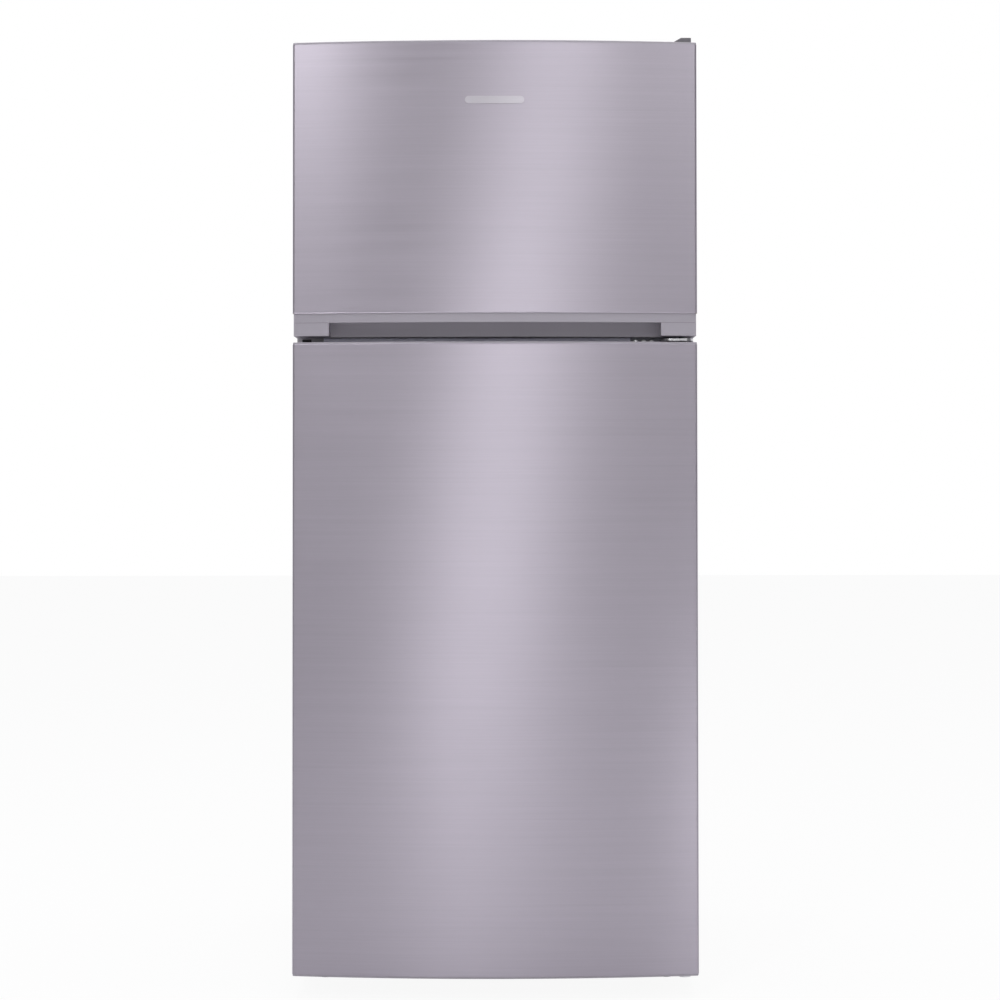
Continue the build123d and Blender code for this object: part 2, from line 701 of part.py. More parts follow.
# ---------------------------------------------------------------- compressor bay
def compressor_tray():
    """The plate under the compressor, with the rear roller brackets, their axles and the gland plate."""
    half = X_SIDE - SHEET - 0.5
    tray = block((-half, half), (BAY_Y + 0.5, Y_BACK - SHEET - 0.3), (CABINET_BASE_Z, TRAY_TOP))
    for side in (-1, 1):
        x = side * (X_SIDE - ROLLER_SIDE_IN)
        y = Y_BACK - ROLLER_BACK_IN
        for cheek in (-1, 1):
            inner = x + cheek * (ROLLER_W / 2 + 1)
            outer = inner + cheek * 2
            ear = block((inner, outer), (y - 11, y + 11), (ROLLER_R - 7, CABINET_BASE_Z))
            tray = tray + ear
        tray = tray + rod("X", (x - ROLLER_W / 2 - 3, y, ROLLER_R), ROLLER_W + 6, AXLE_R)
    plate = block((GLAND_X - 18, GLAND_X + 18), (GLAND_Y - 2, GLAND_Y), (CABINET_BASE_Z, GLAND_Z + 18))
    tray = tray + fillet(plate.edges().filter_by(Axis.Y).group_by(Axis.Z)[-1], 8)
    tray = tray - rod("Y", (GLAND_X, GLAND_Y - 5, GLAND_Z), 10, GLAND_BODY_R)
    for x, y in grommet_places():
        tray = tray - rod("Z", (x, y, CABINET_BASE_Z - 1), TRAY_T + 2, GROMMET_BORE_R)
    return tray


def foot_places():
    """The two screw feet under the front corners."""
    x = X_SIDE - FOOT_SIDE_IN
    return [-x, x]


def grommet_places():
    """The four corners of the compressor's foot plate."""
    dx = COMPRESSOR_W / 2 - GROMMET_IN[0]
    dy = COMPRESSOR_D / 2 - GROMMET_IN[1]
    return [(COMPRESSOR_X + a * dx, COMPRESSOR_Y + b * dy) for a in (-1, 1) for b in (-1, 1)]


def cord_gland():
    """The rubber bush that the mains lead passes through, in the plate at the back."""
    start = (GLAND_X, GLAND_Y - GLAND_BACK, GLAND_Z)
    body = rod("Y", start, GLAND_BODY_L, GLAND_BODY_R)
    inner = rod("Y", start, GLAND_INNER_L, GLAND_BODY_R + GLAND_FLANGE)
    outer = rod("Y", (GLAND_X, GLAND_Y, GLAND_Z), GLAND_OUTER_L, GLAND_BODY_R + GLAND_FLANGE)
    outer = fillet(outer.edges().group_by(Axis.Y)[-1], 2)
    return inner + outer + body - rod("Y", start, 2 * GLAND_BODY_L, CORD_R)


def compressor():
    """The hermetic pot: two welded oval shells, a foot plate and stub tubes."""
    oval = Ellipse(COMPRESSOR_W / 2, COMPRESSOR_D / 2)
    pot = Pos(COMPRESSOR_X, COMPRESSOR_Y, COMPRESSOR_Z) * extrude(oval, COMPRESSOR_H)
    pot = fillet(pot.edges().group_by(Axis.Z)[-1], POT_TOP_R)
    pot = fillet(pot.edges().group_by(Axis.Z)[0], POT_LOW_R)
    seam = Ellipse(COMPRESSOR_W / 2 + POT_SEAM, COMPRESSOR_D / 2 + POT_SEAM)
    middle_z = COMPRESSOR_Z + COMPRESSOR_H * POT_SEAM_SHARE
    pot = pot + Pos(COMPRESSOR_X, COMPRESSOR_Y, middle_z) * extrude(seam, POT_SEAM)
    plate = Box(COMPRESSOR_W + FOOT_PLATE_PAST, COMPRESSOR_D - FOOT_PLATE_SHORT, FOOT_PLATE_T)
    plate = Pos(COMPRESSOR_X, COMPRESSOR_Y, COMPRESSOR_Z + FOOT_PLATE_T / 2) * plate
    pot = pot + fillet(plate.edges().filter_by(Axis.Z), FOOT_PLATE_R)
    for x, y in grommet_places():
        pot = pot - rod("Z", (x, y, COMPRESSOR_Z - 1), 2 * FOOT_PLATE_T, GROMMET_BORE_R)
    return pot


def compressor_mounts():
    """Rubber grommets with their studs and washers, one at each corner."""
    mounts = []
    for x, y in grommet_places():
        rubber = rod("Z", (x, y, TRAY_TOP), GROMMET_H, GROMMET_R)
        rubber = rubber - Pos(x, y, TRAY_TOP + GROMMET_H / 2) * Torus(GROMMET_R + 1, WAIST_R)
        stud = rod("Z", (x, y, CABINET_BASE_Z), TRAY_T + GROMMET_H + FOOT_PLATE_T, GROMMET_BORE_R - FIT)
        washer_z = COMPRESSOR_Z + FOOT_PLATE_T
        washer = rod("Z", (x, y, washer_z), WASHER_T, WASHER_R)
        nut = Pos(x, y, washer_z + WASHER_T) * extrude(RegularPolygon(NUT_R, 6), NUT_H)
        mounts.append(rubber + stud + washer + nut)
    return mounts


def relay_cover():
    """The snap-on cover over the compressor's starter and terminals."""
    x = COMPRESSOR_X + COMPRESSOR_W / 2 + RELAY_OUT
    y = (COMPRESSOR_Y - RELAY[1] / 2, COMPRESSOR_Y + RELAY[1] / 2)
    low = COMPRESSOR_Z + RELAY_UP
    body = block((x, x + RELAY[0]), y, (low, low + RELAY[2]))
    body = fillet(body.edges().filter_by(Axis.Z), RELAY_R)
    body = fillet(body.faces().sort_by(Axis.Z)[-1].edges(), 3)
    return body


def drain_pan():
    """The shallow pan on the compressor that dries off the defrost water."""
    z = COMPRESSOR_Z + COMPRESSOR_H + PAN_LEG_H
    x = (COMPRESSOR_X - COMPRESSOR_W / 2, COMPRESSOR_X + COMPRESSOR_W / 2)
    y = (COMPRESSOR_Y - COMPRESSOR_D / 2, COMPRESSOR_Y + COMPRESSOR_D / 2)
    pan = open_box(x, y, (z, z + PAN_H), 2, PAN_R)
    for dx, dy in PAN_LEGS:
        leg = rod("Z", (COMPRESSOR_X + dx, COMPRESSOR_Y + dy, z - PAN_LEG_H), PAN_LEG_H + 1, PAN_LEG_R)
        pan = pan + leg
    return pan


def condenser_coil():
    """One long steel tube folded back and forth across the back."""
    points = []
    bend = PASS_PITCH / 2 - 0.5
    for n in range(CONDENSER_PASSES):
        z = CONDENSER_LOW_Z + n * PASS_PITCH
        ends = (CONDENSER_HALF, -CONDENSER_HALF) if n % 2 == 0 else (-CONDENSER_HALF, CONDENSER_HALF)
        points += [(ends[0], CONDENSER_Y, z), (ends[1], CONDENSER_Y, z)]
    return pipe(points, bend, TUBE_R)


def wire_places():
    """Where the condenser's upright wires stand, side to side."""
    reach = CONDENSER_HALF - PASS_PITCH / 2
    count = int(2 * reach / WIRE_PITCH)
    return [(n - count / 2) * WIRE_PITCH for n in range(count + 1)]


def condenser_wires():
    """Upright wires welded to both faces of the coil."""
    low, high = CONDENSER_LOW_Z - WIRE_PAST, CONDENSER_TOP_Z + WIRE_PAST
    gap = TUBE_R + WIRE_PLAY + WIRE_R
    return [
        rod("Z", (x, CONDENSER_Y + side * gap, low), high - low, WIRE_R)
        for x in wire_places()
        for side in (-1, 1)
    ]


def condenser_clips():
    """Plastic stand-offs that carry the coil clear of the back panel."""
    clips = []
    between = WIRE_PITCH / 2
    places = wire_places()
    for x in (places[1] + between, places[-2] - between):
        for n in (1, CONDENSER_PASSES // 2, CONDENSER_PASSES - 2):
            z = CONDENSER_LOW_Z + n * PASS_PITCH
            y = (Y_BACK - SHEET, CONDENSER_Y + TUBE_R + CLIP_PAST)
            body = block((x - CLIP_HALF, x + CLIP_HALF), y, (z - CLIP_HALF_H, z + CLIP_HALF_H))
            body = body - rod("X", (x - CLIP_HALF - 1, CONDENSER_Y, z), 2 * CLIP_HALF + 2, TUBE_R)
            throat_x = (x - CLIP_HALF - 1, x + CLIP_HALF + 1)
            throat = block(throat_x, (CONDENSER_Y, y[1] + 1), (z - THROAT_HALF, z + THROAT_HALF))
            clips.append(body - throat)
    return clips


def refrigerant_lines():
    """Copper lines between compressor, condenser, filter drier and the evaporator feed."""
    right = X_SIDE - LINE_SIDE_IN
    left = -right
    start = COMPRESSOR_X + COMPRESSOR_W / 2 - STUB_IN
    y_out = COMPRESSOR_Y + STUB_SIDE
    z_out = COMPRESSOR_Z + STUB_UP
    discharge = pipe(
        [
            (start, y_out, z_out),
            (right, y_out, z_out),
            (right, CONDENSER_Y, z_out),
            (right, CONDENSER_Y, CONDENSER_LOW_Z),
            (CONDENSER_HALF, CONDENSER_Y, CONDENSER_LOW_Z),
        ],
        LINE_R,
        TUBE_R,
    )
    drier_y = Y_BACK - DRIER_BACK_IN
    top = BAY_TOP_Z - FEED_IN
    low = top - FEED_IN - DRIER_L
    back = pipe(
        [
            (-CONDENSER_HALF, CONDENSER_Y, CONDENSER_TOP_Z),
            (left, CONDENSER_Y, CONDENSER_TOP_Z),
            (left, CONDENSER_Y, top),
            (left, drier_y, top),
            (left, drier_y, top - FEED_IN),
        ],
        LINE_R,
        TUBE_R,
    )
    drier = rod("Z", (left, drier_y, low), DRIER_L, DRIER_R)
    drier = fillet(drier.edges(), 4)
    feed = pipe(
        [
            (left, drier_y, low),
            (left, drier_y, low - FEED_RUN),
            (left, BAY_Y + FEED_IN, low - FEED_RUN),
            (left, BAY_Y + FEED_IN, BAY_TOP_Z),
        ],
        FEED_BEND,
        TUBE_R,
    )
    suction = pipe(
        [
            (start, COMPRESSOR_Y - STUB_SIDE, z_out),
            (start + SUCTION_RUN, COMPRESSOR_Y - STUB_SIDE, z_out),
            (start + SUCTION_RUN, COMPRESSOR_Y - STUB_SIDE, BAY_TOP_Z),
        ],
        SUCTION_BEND,
        SUCTION_R,
    )
    lines = [discharge, back + drier + feed, suction]
    return [line - compressor() for line in lines]


# ---------------------------------------------------------------- hinges
def pin(z, up):
    """A hinge pin at the door axis, from z, with a lead-in on its free end."""
    start = z if up else z - PIN_LENGTH
    body = rod("Z", (X_HINGE, Y_HINGE, start), PIN_LENGTH, PIN_R)
    tip = body.edges().group_by(Axis.Z)[-1 if up else 0]
    return chamfer(tip, PIN_LEAD)


def hinge_arm(z, thickness, y_back, half):
    """The flat arm that carries a pin out over or under a door, rounded at the pin."""
    arm = block((X_HINGE - half, X_HINGE + half), (Y_HINGE, y_back), (z, z + thickness))
    return arm + rod("Z", (X_HINGE, Y_HINGE, z), thickness, half)


def top_hinge():
    """The plate on the cabinet's top, with the freezer door's upper pin."""
    plate = hinge_arm(Z_CAB_TOP, TOP_HINGE_T, top_screw_places()[-1][1] + TOP_ARM_PAST, TOP_ARM_HALF)
    plate = plate + pin(Z_CAB_TOP, False)
    for hole in screw_holes():
        plate = plate - hole
    return plate


def top_hinge_cover():
    """The moulded cover over the top hinge, bevelled on its inner side and rising to the back."""
    right = X_SIDE - COVER_SIDE_IN
    left = right - COVER_W
    front = Y_HINGE - TOP_ARM_HALF - COVER_AHEAD
    y = (front, front + COVER_LENGTH)
    base = Z_DOOR_TOP + TOP_STEP

    def body(inset, drop):
        low = base - drop
        front_top = Z_DOOR_TOP + COVER_FRONT_H - inset
        rear_top = Z_DOOR_TOP + COVER_REAR_H - inset
        side = Plane.YZ * make_face(
            Polyline(
                (y[0] + inset, low), (y[0] + inset, front_top), (y[1] - inset, rear_top),
                (y[1] - inset, low), close=True,
            )
        )
        solid = Pos(left + inset, 0, 0) * extrude(side, COVER_W - 2 * inset)
        wedge = make_face(
            Polyline(
                (left - 1, base), (left + inset, base), (left + COVER_SLOPE + inset, rear_top + inset + 2),
                (left - 1, rear_top + inset + 2), close=True,
            )
        )
        cut = Pos(0, y[1] + 5, 0) * extrude(Plane.XZ * wedge, COVER_LENGTH + 10)
        return solid - cut

    outer = body(0, 0)
    outer = fillet(outer.edges().filter_by(Axis.Z).group_by(Axis.Y)[0], COVER_EDGE_R)
    return outer - body(COVER_WALL, 1)


def middle_hinge():
    """The bracket screwed to the crossbar, with a pin up into one door and a pin down into the other."""
    z = Z_GAP - HINGE_T / 2
    inward, outward, ahead = MIDDLE_ARM
    x = (X_HINGE - inward, X_HINGE + outward)
    arm = block(x, (Y_HINGE - ahead, Y_CAB), (z, z + HINGE_T))
    arm = fillet(arm.edges().filter_by(Axis.Z).group_by(Axis.Y)[0], MIDDLE_ARM_R)
    flange_x = (middle_screw_places()[0] - SCREW_EDGE, x[1])
    flange_z = (Z_GAP - MIDDLE_FLANGE_HALF, Z_GAP + MIDDLE_FLANGE_HALF)
    flange = block(flange_x, (Y_CAB - HINGE_FLANGE_T, Y_CAB), flange_z)
    shape = arm + flange + pin(z + HINGE_T, True) + pin(z, False)
    for up in (0, 1):
        collar_z = z + HINGE_T if up else z - COLLAR_H
        shape = shape + rod("Z", (X_HINGE, Y_HINGE, collar_z), COLLAR_H, PIN_R + COLLAR_T)
    for hole in screw_holes():
        shape = shape - hole
    return shape


def bottom_hinge():
    """The bracket on the base rail, with the pin that carries the fridge door."""
    z = FLOOR_TO_DOOR - COLLAR_H - TURN_PLAY - HINGE_T
    arm = hinge_arm(z, HINGE_T, Y_CAB, BOTTOM_ARM_HALF)
    x = (X_HINGE - BOTTOM_FLANGE_REACH, X_HINGE + BOTTOM_ARM_HALF)
    flange = block(x, (Y_CAB - HINGE_FLANGE_T, Y_CAB), (z, BOTTOM_SCREW_Z + SCREW_EDGE))
    gusset = block(x, (Y_CAB - GUSSET_D, Y_CAB), (z, z + HINGE_T))
    shape = arm + flange + gusset + pin(z + HINGE_T, True)
    shape = shape + rod("Z", (X_HINGE, Y_HINGE, z + HINGE_T), COLLAR_H, PIN_R + COLLAR_T)
    for hole in screw_holes():
        shape = shape - hole
    return shape


def pin_bore(z, up):
    """The bore and the boss round it that take a hinge pin in a door cap."""
    start = z if up else z - BOSS_DEPTH
    boss = rod("Z", (X_HINGE, Y_HINGE, start), BOSS_DEPTH, BOSS_R)
    bore = rod("Z", (X_HINGE, Y_HINGE, start - 1), BOSS_DEPTH + 2, PIN_R + PIN_PLAY)
    return boss, bore


# ---------------------------------------------------------------- doors
def door_skin(z):
    """The bowed front and both sides of a door in one folded sheet, with a return at the back."""
    outer = door_body(0, z)
    inner = door_body(SHEET, (z[0] - 1, z[1] + 1))
    half = X_SIDE - SKIN_RETURN
    window = block((-half, half), (Y_DOOR_BACK - 5, Y_DOOR_BACK + 1), (z[0] - 1, z[1] + 1))
    return outer - inner - window


def end_cap(z, top):
    """A moulded plate that closes one end of a door, with the boss for its hinge pin."""
    plate = door_body(CAP_INSET, z)
    outer = plate.faces().sort_by(Axis.Z)[-1 if top else 0]
    rim = [e for e in outer.edges() if e.center().Y < Y_DOOR_BACK - 5]
    plate = fillet(rim, CAP_EDGE_R)
    boss, bore = pin_bore(z[1] if top else z[0], not top)
    return plate + boss - bore


def grip_space(z, out=0.0):
    """The finger space behind a lip that follows the bow, grown by out on its walls."""
    space = bowed_block(GRIP_HALF + out, LIP_T - out, Y_DOOR_BACK - 1, z)
    return space - bowed_block(GRIP_HALF + out + 1, GRIP_DEPTH + out, Y_DOOR_BACK, z)


def freezer_door_handle():
    """The lower end cap of the freezer door: a full-width lip over an open grip pocket."""
    z = (Z_FREEZER_LOW, Z_FREEZER_LOW + HANDLE_H)
    body = door_body(HANDLE_INSET, z)
    back = block((-X_SIDE, X_SIDE), (Y_DOOR_BACK - HANDLE_INSET - 1, Y_DOOR_BACK), z)
    outer = body - back
    roof = z[1] - GRIP_ROOF
    pocket = grip_space((z[0] - 1, roof))
    mouth = bowed_block(GRIP_HALF, -2, bow_y(0, LIP_T) + GRIP_MOUTH, (z[0] - 1, z[1] - LIP_H))
    mouth = mouth - bowed_block(GRIP_HALF + 1, LIP_T + 2, Y_DOOR_BACK, (z[0] - 2, z[1]))
    boss, bore = pin_bore(z[0], True)
    shape = outer - handle_core() - pocket - mouth
    return shape + boss - bore


def handle_core():
    """The hollow inside the freezer door's lower cap, which the insulation fills."""
    z = (Z_FREEZER_LOW + CAP_WALL, Z_FREEZER_LOW + HANDLE_H + 1)
    core = door_body(HANDLE_INSET + CAP_WALL, z)
    pocket = grip_space((Z_FREEZER_LOW - 1, Z_FREEZER_LOW + HANDLE_H - GRIP_ROOF + CAP_WALL), CAP_WALL)
    front = bowed_block(GRIP_HALF + CAP_WALL, -1, Y_DOOR_BACK - 12, z)
    front = front - bowed_block(GRIP_HALF + CAP_WALL + 1, LIP_T + 3, Y_DOOR_BACK, (z[0] - 1, z[1] + 1))
    boss, _ = pin_bore(Z_FREEZER_LOW, True)
    return core - pocket - front - boss


def freezer_door_caps():
    """Both end caps of the freezer door; the lower one is its handle."""
    return [end_cap((Z_DOOR_TOP - CAP_T, Z_DOOR_TOP), True), freezer_door_handle()]


def fridge_top_cap():
    """The upper end cap of the fridge door, with a finger groove behind its front edge."""
    z = (Z_FRIDGE_TOP - CAP_T, Z_FRIDGE_TOP)
    cap = end_cap(z, True)
    floor = Z_FRIDGE_TOP - LOWER_GRIP_H
    tray = grip_space((floor - CAP_WALL, z[0] + 0.5), CAP_WALL)
    return cap + tray - grip_space((floor, Z_FRIDGE_TOP + 1))


def fridge_door_caps():
    """Both end caps of the fridge door."""
    return [fridge_top_cap(), end_cap((FLOOR_TO_DOOR, FLOOR_TO_DOOR + CAP_T), False)]


def ring(x, y, z, width):
    """A rectangular frame standing in the XZ plane."""
    outer = block((-x, x), y, z)
    return outer - block((-x + width, x - width), (y[0] - 1, y[1] + 1), (z[0] + width, z[1] - width))


def dike(z, inset):
    """The raised frame on the inside of a door, shrunk by inset on each of its faces but the back one."""
    y = (Y_DOOR_BACK - LINER_T, Y_CAB + DIKE_REACH - inset)
    x = X_DIKE - inset
    frame = block((-x, x), y, (z[0] + inset, z[1] - inset))
    frame = fillet(frame.edges().filter_by(Axis.Y), DIKE_CORNER_R - inset)
    gap = DIKE_W - inset
    hole = block((-X_DIKE + gap, X_DIKE - gap), (y[0] - 1, y[1] + 1), (z[0] + gap, z[1] - gap))
    hole = fillet(hole.edges().filter_by(Axis.Y), DIKE_CREST_R + inset)
    frame = frame - hole
    crest = frame.faces().sort_by(Axis.Y)[-1].edges()
    return fillet(crest, DIKE_CREST_R - inset)


def door_liner(z, dike_z, lugs):
    """The moulded inside of a door: a flat margin for the seal and a raised frame that holds the bins."""
    half = X_SIDE - SKIN_RETURN - FIT
    plate = block((-half, half), (Y_DOOR_BACK - LINER_T, Y_DOOR_BACK), z)
    shape = plate + dike(dike_z, 0) - dike(dike_z, LINER_T)
    x = X_DIKE - DIKE_W
    for level in lugs:
        for y in (Y_DOOR_BACK + 20, Y_CAB + DIKE_REACH - 12):
            lug = rod("X", (x - BIN_PLAY + 0.5, y, level - LUG_R - LUG_PLAY), BIN_PLAY + 0.5, LUG_R)
            shape = shape + lug + mirrored(lug)
    return shape


def freezer_door_liner():
    """The freezer door's inside."""
    return door_liner((Z_FREEZER_LOW + 1, Z_DOOR_TOP - CAP_T), FREEZER_DIKE_Z, FREEZER_BIN_Z[1:])


def fridge_door_liner():
    """The fridge door's inside."""
    return door_liner(FRIDGE_SKIN_Z, FRIDGE_DIKE_Z, FRIDGE_BIN_Z[1:] + [DAIRY_Z])


def door_foam(z, dike_z, bosses):
    """The insulation inside a door, which also fills its raised frame."""
    core = door_body(SHEET, z)
    keep = block((-X_SIDE, X_SIDE), (Y_FRONT, Y_DOOR_BACK - LINER_T), z)
    core = (core & keep) + dike(dike_z, LINER_T)
    for boss in bosses:
        core = core - boss
    return core


def freezer_door_foam():
    """The freezer door's insulation, reaching down into the grip cap."""
    boss, _ = pin_bore(Z_DOOR_TOP, False)
    foam = door_foam(FREEZER_SKIN_Z, FREEZER_DIKE_Z, [boss])
    keep = block((-X_SIDE, X_SIDE), (Y_FRONT, Y_DOOR_BACK - LINER_T), (0, FREEZER_SKIN_Z[0]))
    low_dike = block((-X_SIDE, X_SIDE), (Y_DOOR_BACK - LINER_T, Y_CAB + DIKE_REACH), (0, FREEZER_SKIN_Z[0]))
    return foam + (handle_core() & keep) + (dike(FREEZER_DIKE_Z, LINER_T) & low_dike)


def fridge_door_foam():
    """The fridge door's insulation."""
    top, _ = pin_bore(Z_FRIDGE_TOP, False)
    low, _ = pin_bore(FLOOR_TO_DOOR, True)
    tray = grip_space((Z_FRIDGE_TOP - LOWER_GRIP_H - CAP_WALL, Z_FRIDGE_TOP), CAP_WALL)
    return door_foam(FRIDGE_SKIN_Z, FRIDGE_DIKE_Z, [top, low, tray])


def gasket(z):
    """A soft magnetic seal: a wide foot on the door and a hollow bellows with a flat face."""
    x = X_OPEN + GASKET_INSET + GASKET_W
    y = (Y_DOOR_BACK, Y_CAB - GASKET_PLAY)
    grow = GASKET_INSET + GASKET_W
    span = (z[0] - grow, z[1] + grow)
    shape = ring(x, y, span, GASKET_W)
    waist_y = (y[0] + SEAL_WAIST[0], y[0] + SEAL_WAIST[1])
    waist = ring(x + 1, waist_y, (span[0] - 1, span[1] + 1), SEAL_WAIST_T)
    deep = GASKET_W - SEAL_WAIST_T + 1
    inner = ring(x - deep, waist_y, (span[0] + deep, span[1] - deep), SEAL_WAIST_T)
    return shape - waist - inner


def badge():
    """A small blank nameplate, bent to the door's bow."""
    z = Z_DOOR_TOP - BADGE_DROP
    plate = bowed_band(BADGE_HALF, -BADGE_T, 0, (z - BADGE_H / 2, z + BADGE_H / 2))
    return fillet(plate.edges().filter_by(Axis.Y, tolerance=12), BADGE_H / 2 - 0.1)


# ---------------------------------------------------------------- door fittings
def door_bin(z, height, reach_y):
    """An open bin that hangs between the sides of a door's raised frame."""
    tub = open_box((-X_BIN, X_BIN), (Y_DOOR_BACK + 1, reach_y), (z, z + height), BIN_WALL, BIN_RADIUS)
    wall = BIN_WALL + BIN_BEAD_T
    top = z + height
    bead_z = (top - BIN_BEAD_H - wall, top)
    bead = open_box((-X_BIN, X_BIN), (Y_DOOR_BACK + 1, reach_y), bead_z, wall, BIN_RADIUS)
    front = block((-X_BIN, X_BIN), (Y_CAB, reach_y), (top - BIN_BEAD_H, top))
    return tub + (bead & front)


def freezer_door_bins():
    """The two bins of the freezer door."""
    return [door_bin(z, FREEZER_BIN_H, Y_FREEZER_BIN) for z in FREEZER_BIN_Z]


def fridge_door_bins():
    """The bottle bin, two plain bins, and the dairy bin with the ears that its lid turns in."""
    heights = [BOTTLE_BIN_H, BIN_H, BIN_H]
    bins = [door_bin(z, h, Y_FRIDGE_BIN) for z, h in zip(FRIDGE_BIN_Z, heights)]
    dairy = door_bin(DAIRY_Z, DAIRY_BIN_H, Y_FRIDGE_BIN)
    top = DAIRY_Z + DAIRY_BIN_H
    y = (Y_LID_AXIS - 7, Y_LID_AXIS + 12)
    ear = block((X_BIN - EAR_T, X_BIN), y, (top - 20, LID_AXIS_Z + 7))
    ear = fillet(ear.edges().filter_by(Axis.X).group_by(Axis.Z)[-1], EAR_R)
    ear = ear - rod("X", (X_BIN - EAR_T - 1, Y_LID_AXIS, LID_AXIS_Z), EAR_T + 2, LID_PIN_R + RUNNING_PLAY)
    return bins + [dairy + ear + mirrored(ear)]


def dairy_lid():
    """The flap over the dairy bin, with a pin at each end of its rear edge."""
    half = X_BIN - EAR_T - 0.8
    y = (Y_LID_AXIS, Y_FRIDGE_BIN)
    top = block((-half, half), y, (LID_AXIS_Z - LID_T / 2, LID_AXIS_Z + LID_T / 2))
    nose_z = (LID_AXIS_Z - LID_T / 2 - LID_NOSE, LID_AXIS_Z + LID_T / 2)
    front = block((-half, half), (y[1] - LID_T, y[1]), nose_z)
    lid = top + front
    lid = fillet(lid.edges().filter_by(Axis.X).group_by(Axis.Y)[-1].sort_by(Axis.Z)[-1], 1.8)
    lid = lid + rod("X", (-half, Y_LID_AXIS, LID_AXIS_Z), 2 * half, LID_PIN_R)
    return lid + rod("X", (-X_BIN, Y_LID_AXIS, LID_AXIS_Z), 2 * X_BIN, LID_PIN_R)


# ---------------------------------------------------------------- freezer compartment
def evaporator():
    """The finned coil behind the freezer's rear cover."""
    y = (Y_EVAP_COVER + EVAP_COVER_T + COIL_PLAY, Y_INNER_BACK - COIL_PLAY)
    z = (FREEZER_Z[0] + COIL_LOW, FAN_Z - FAN_R - FAN_GAP)
    reach = X_OPEN - COIL_SIDE_IN
    coil = None
    rows = int((z[1] - z[0]) / COIL_PITCH)
    for n in range(rows):
        for side in (0, 1):
            at_y = y[side] + (1 - 2 * side) * COIL_EDGE
            at = (-reach, at_y, z[0] + COIL_PITCH * (n + 0.5))
            tube = rod("X", at, 2 * reach, COIL_R)
            coil = tube if coil is None else coil + tube
    fins = int(2 * reach / FIN_PITCH)
    for n in range(fins + 1):
        x = -reach + COIL_R + n * (2 * reach - 2 * COIL_R) / fins
        coil = coil + block((x - FIN_T / 2, x + FIN_T / 2), y, z)
    return coil


def evaporator_cover():
    """The freezer's rear wall panel: air slots below, the fan's grille above."""
    y = (Y_EVAP_COVER, Y_EVAP_COVER + EVAP_COVER_T)
    half = X_OPEN - 3
    z = (FREEZER_Z[0] + 2, FREEZER_Z[1] - 3)
    panel = block((-half, half), y, z)
    panel = fillet(panel.edges().filter_by(Axis.Y), LINER_RADIUS)
    wide = half - PANEL_MARGIN
    raised = block((-wide, wide), (y[0] - PANEL_RISE, y[0]), (z[0] + PANEL_LOW, z[1] - PANEL_TOP))
    raised = fillet(raised.edges().filter_by(Axis.Y), PANEL_R)
    raised = fillet(raised.faces().sort_by(Axis.Y)[0].edges(), PANEL_EDGE_R)
    hollow_y = (y[0] - PANEL_RISE + EVAP_COVER_T, y[1] + 1)
    hollow_z = (z[0] + PANEL_LOW + 4, z[1] - PANEL_TOP - 4)
    hollow = block((-wide + 4, wide - 4), hollow_y, hollow_z)
    panel = panel + raised - fillet(hollow.edges().filter_by(Axis.Y), PANEL_R - 4)
    for n in range(-8, 9):
        slot = Pos(n * SLOT_PITCH, Y_EVAP_COVER, z[0] + SLOT_UP) * Box(SLOT_SIZE[0], 60, SLOT_SIZE[1])
        panel = panel - slot
    for level in (-2, -1, 0, 1, 2):
        half_chord = sqrt(FAN_R**2 - (level * GRILLE_PITCH) ** 2)
        slot = Pos(0, Y_EVAP_COVER, FAN_Z + level * GRILLE_PITCH) * Box(2 * half_chord, 60, GRILLE_SLOT)
        panel = panel - slot
    return panel


def fan_motor():
    """The evaporator fan's motor, on a three-arm bracket fixed to the liner's back."""
    back = Y_INNER_BACK
    motor = rod("Y", (0, FAN_Y + 14, FAN_Z), back - FAN_Y - 14 - 4, MOTOR_R)
    motor = fillet(motor.edges().group_by(Axis.Y)[0], 3)
    shaft = rod("Y", (0, FAN_Y - 8, FAN_Z), 24, SHAFT_R)
    plate = rod("Y", (0, back - 4, FAN_Z), 4, MOTOR_PLATE_R)
    return motor + shaft + plate


def fan_blade():
    """A five-blade fan on a bored hub."""
    fan = rod("Y", (0, FAN_Y - 6, FAN_Z), HUB_L, HUB_R)
    for n in range(FAN_BLADES):
        turn = Rot(0, 360 * n / FAN_BLADES, 0)
        blade = Rot(BLADE_PITCH_DEG, 0, 0) * Box(FAN_R - 10, BLADE_T, BLADE_W)
        fan = fan + Pos(0, FAN_Y + 1, FAN_Z) * turn * Pos((FAN_R + 8) / 2, 0, 0) * blade
    return fan - rod("Y", (0, FAN_Y - 10, FAN_Z), 30, SHAFT_R + RUNNING_PLAY)


def freezer_shelf():
    """The shelf across the freezer, with a raised rear stop and a rolled front edge."""
    half = X_OPEN - SIDE_PLAY
    y = (Y_ICE, Y_EVAP_COVER - SHELF_BACK_PLAY)
    z = FREEZER_SHELF_Z
    pane = block((-half, half), y, (z, z + SHELF_T))
    pane = fillet(pane.faces().sort_by(Axis.Y)[0].edges().filter_by(Axis.X), SHELF_NOSE_R)
    stop = block((-half, half), (y[1] - SHELF_STOP[0], y[1]), (z, z + SHELF_T + SHELF_STOP[1]))
    return pane + fillet(stop.faces().sort_by(Axis.Z)[-1].edges().filter_by(Axis.X), 2)


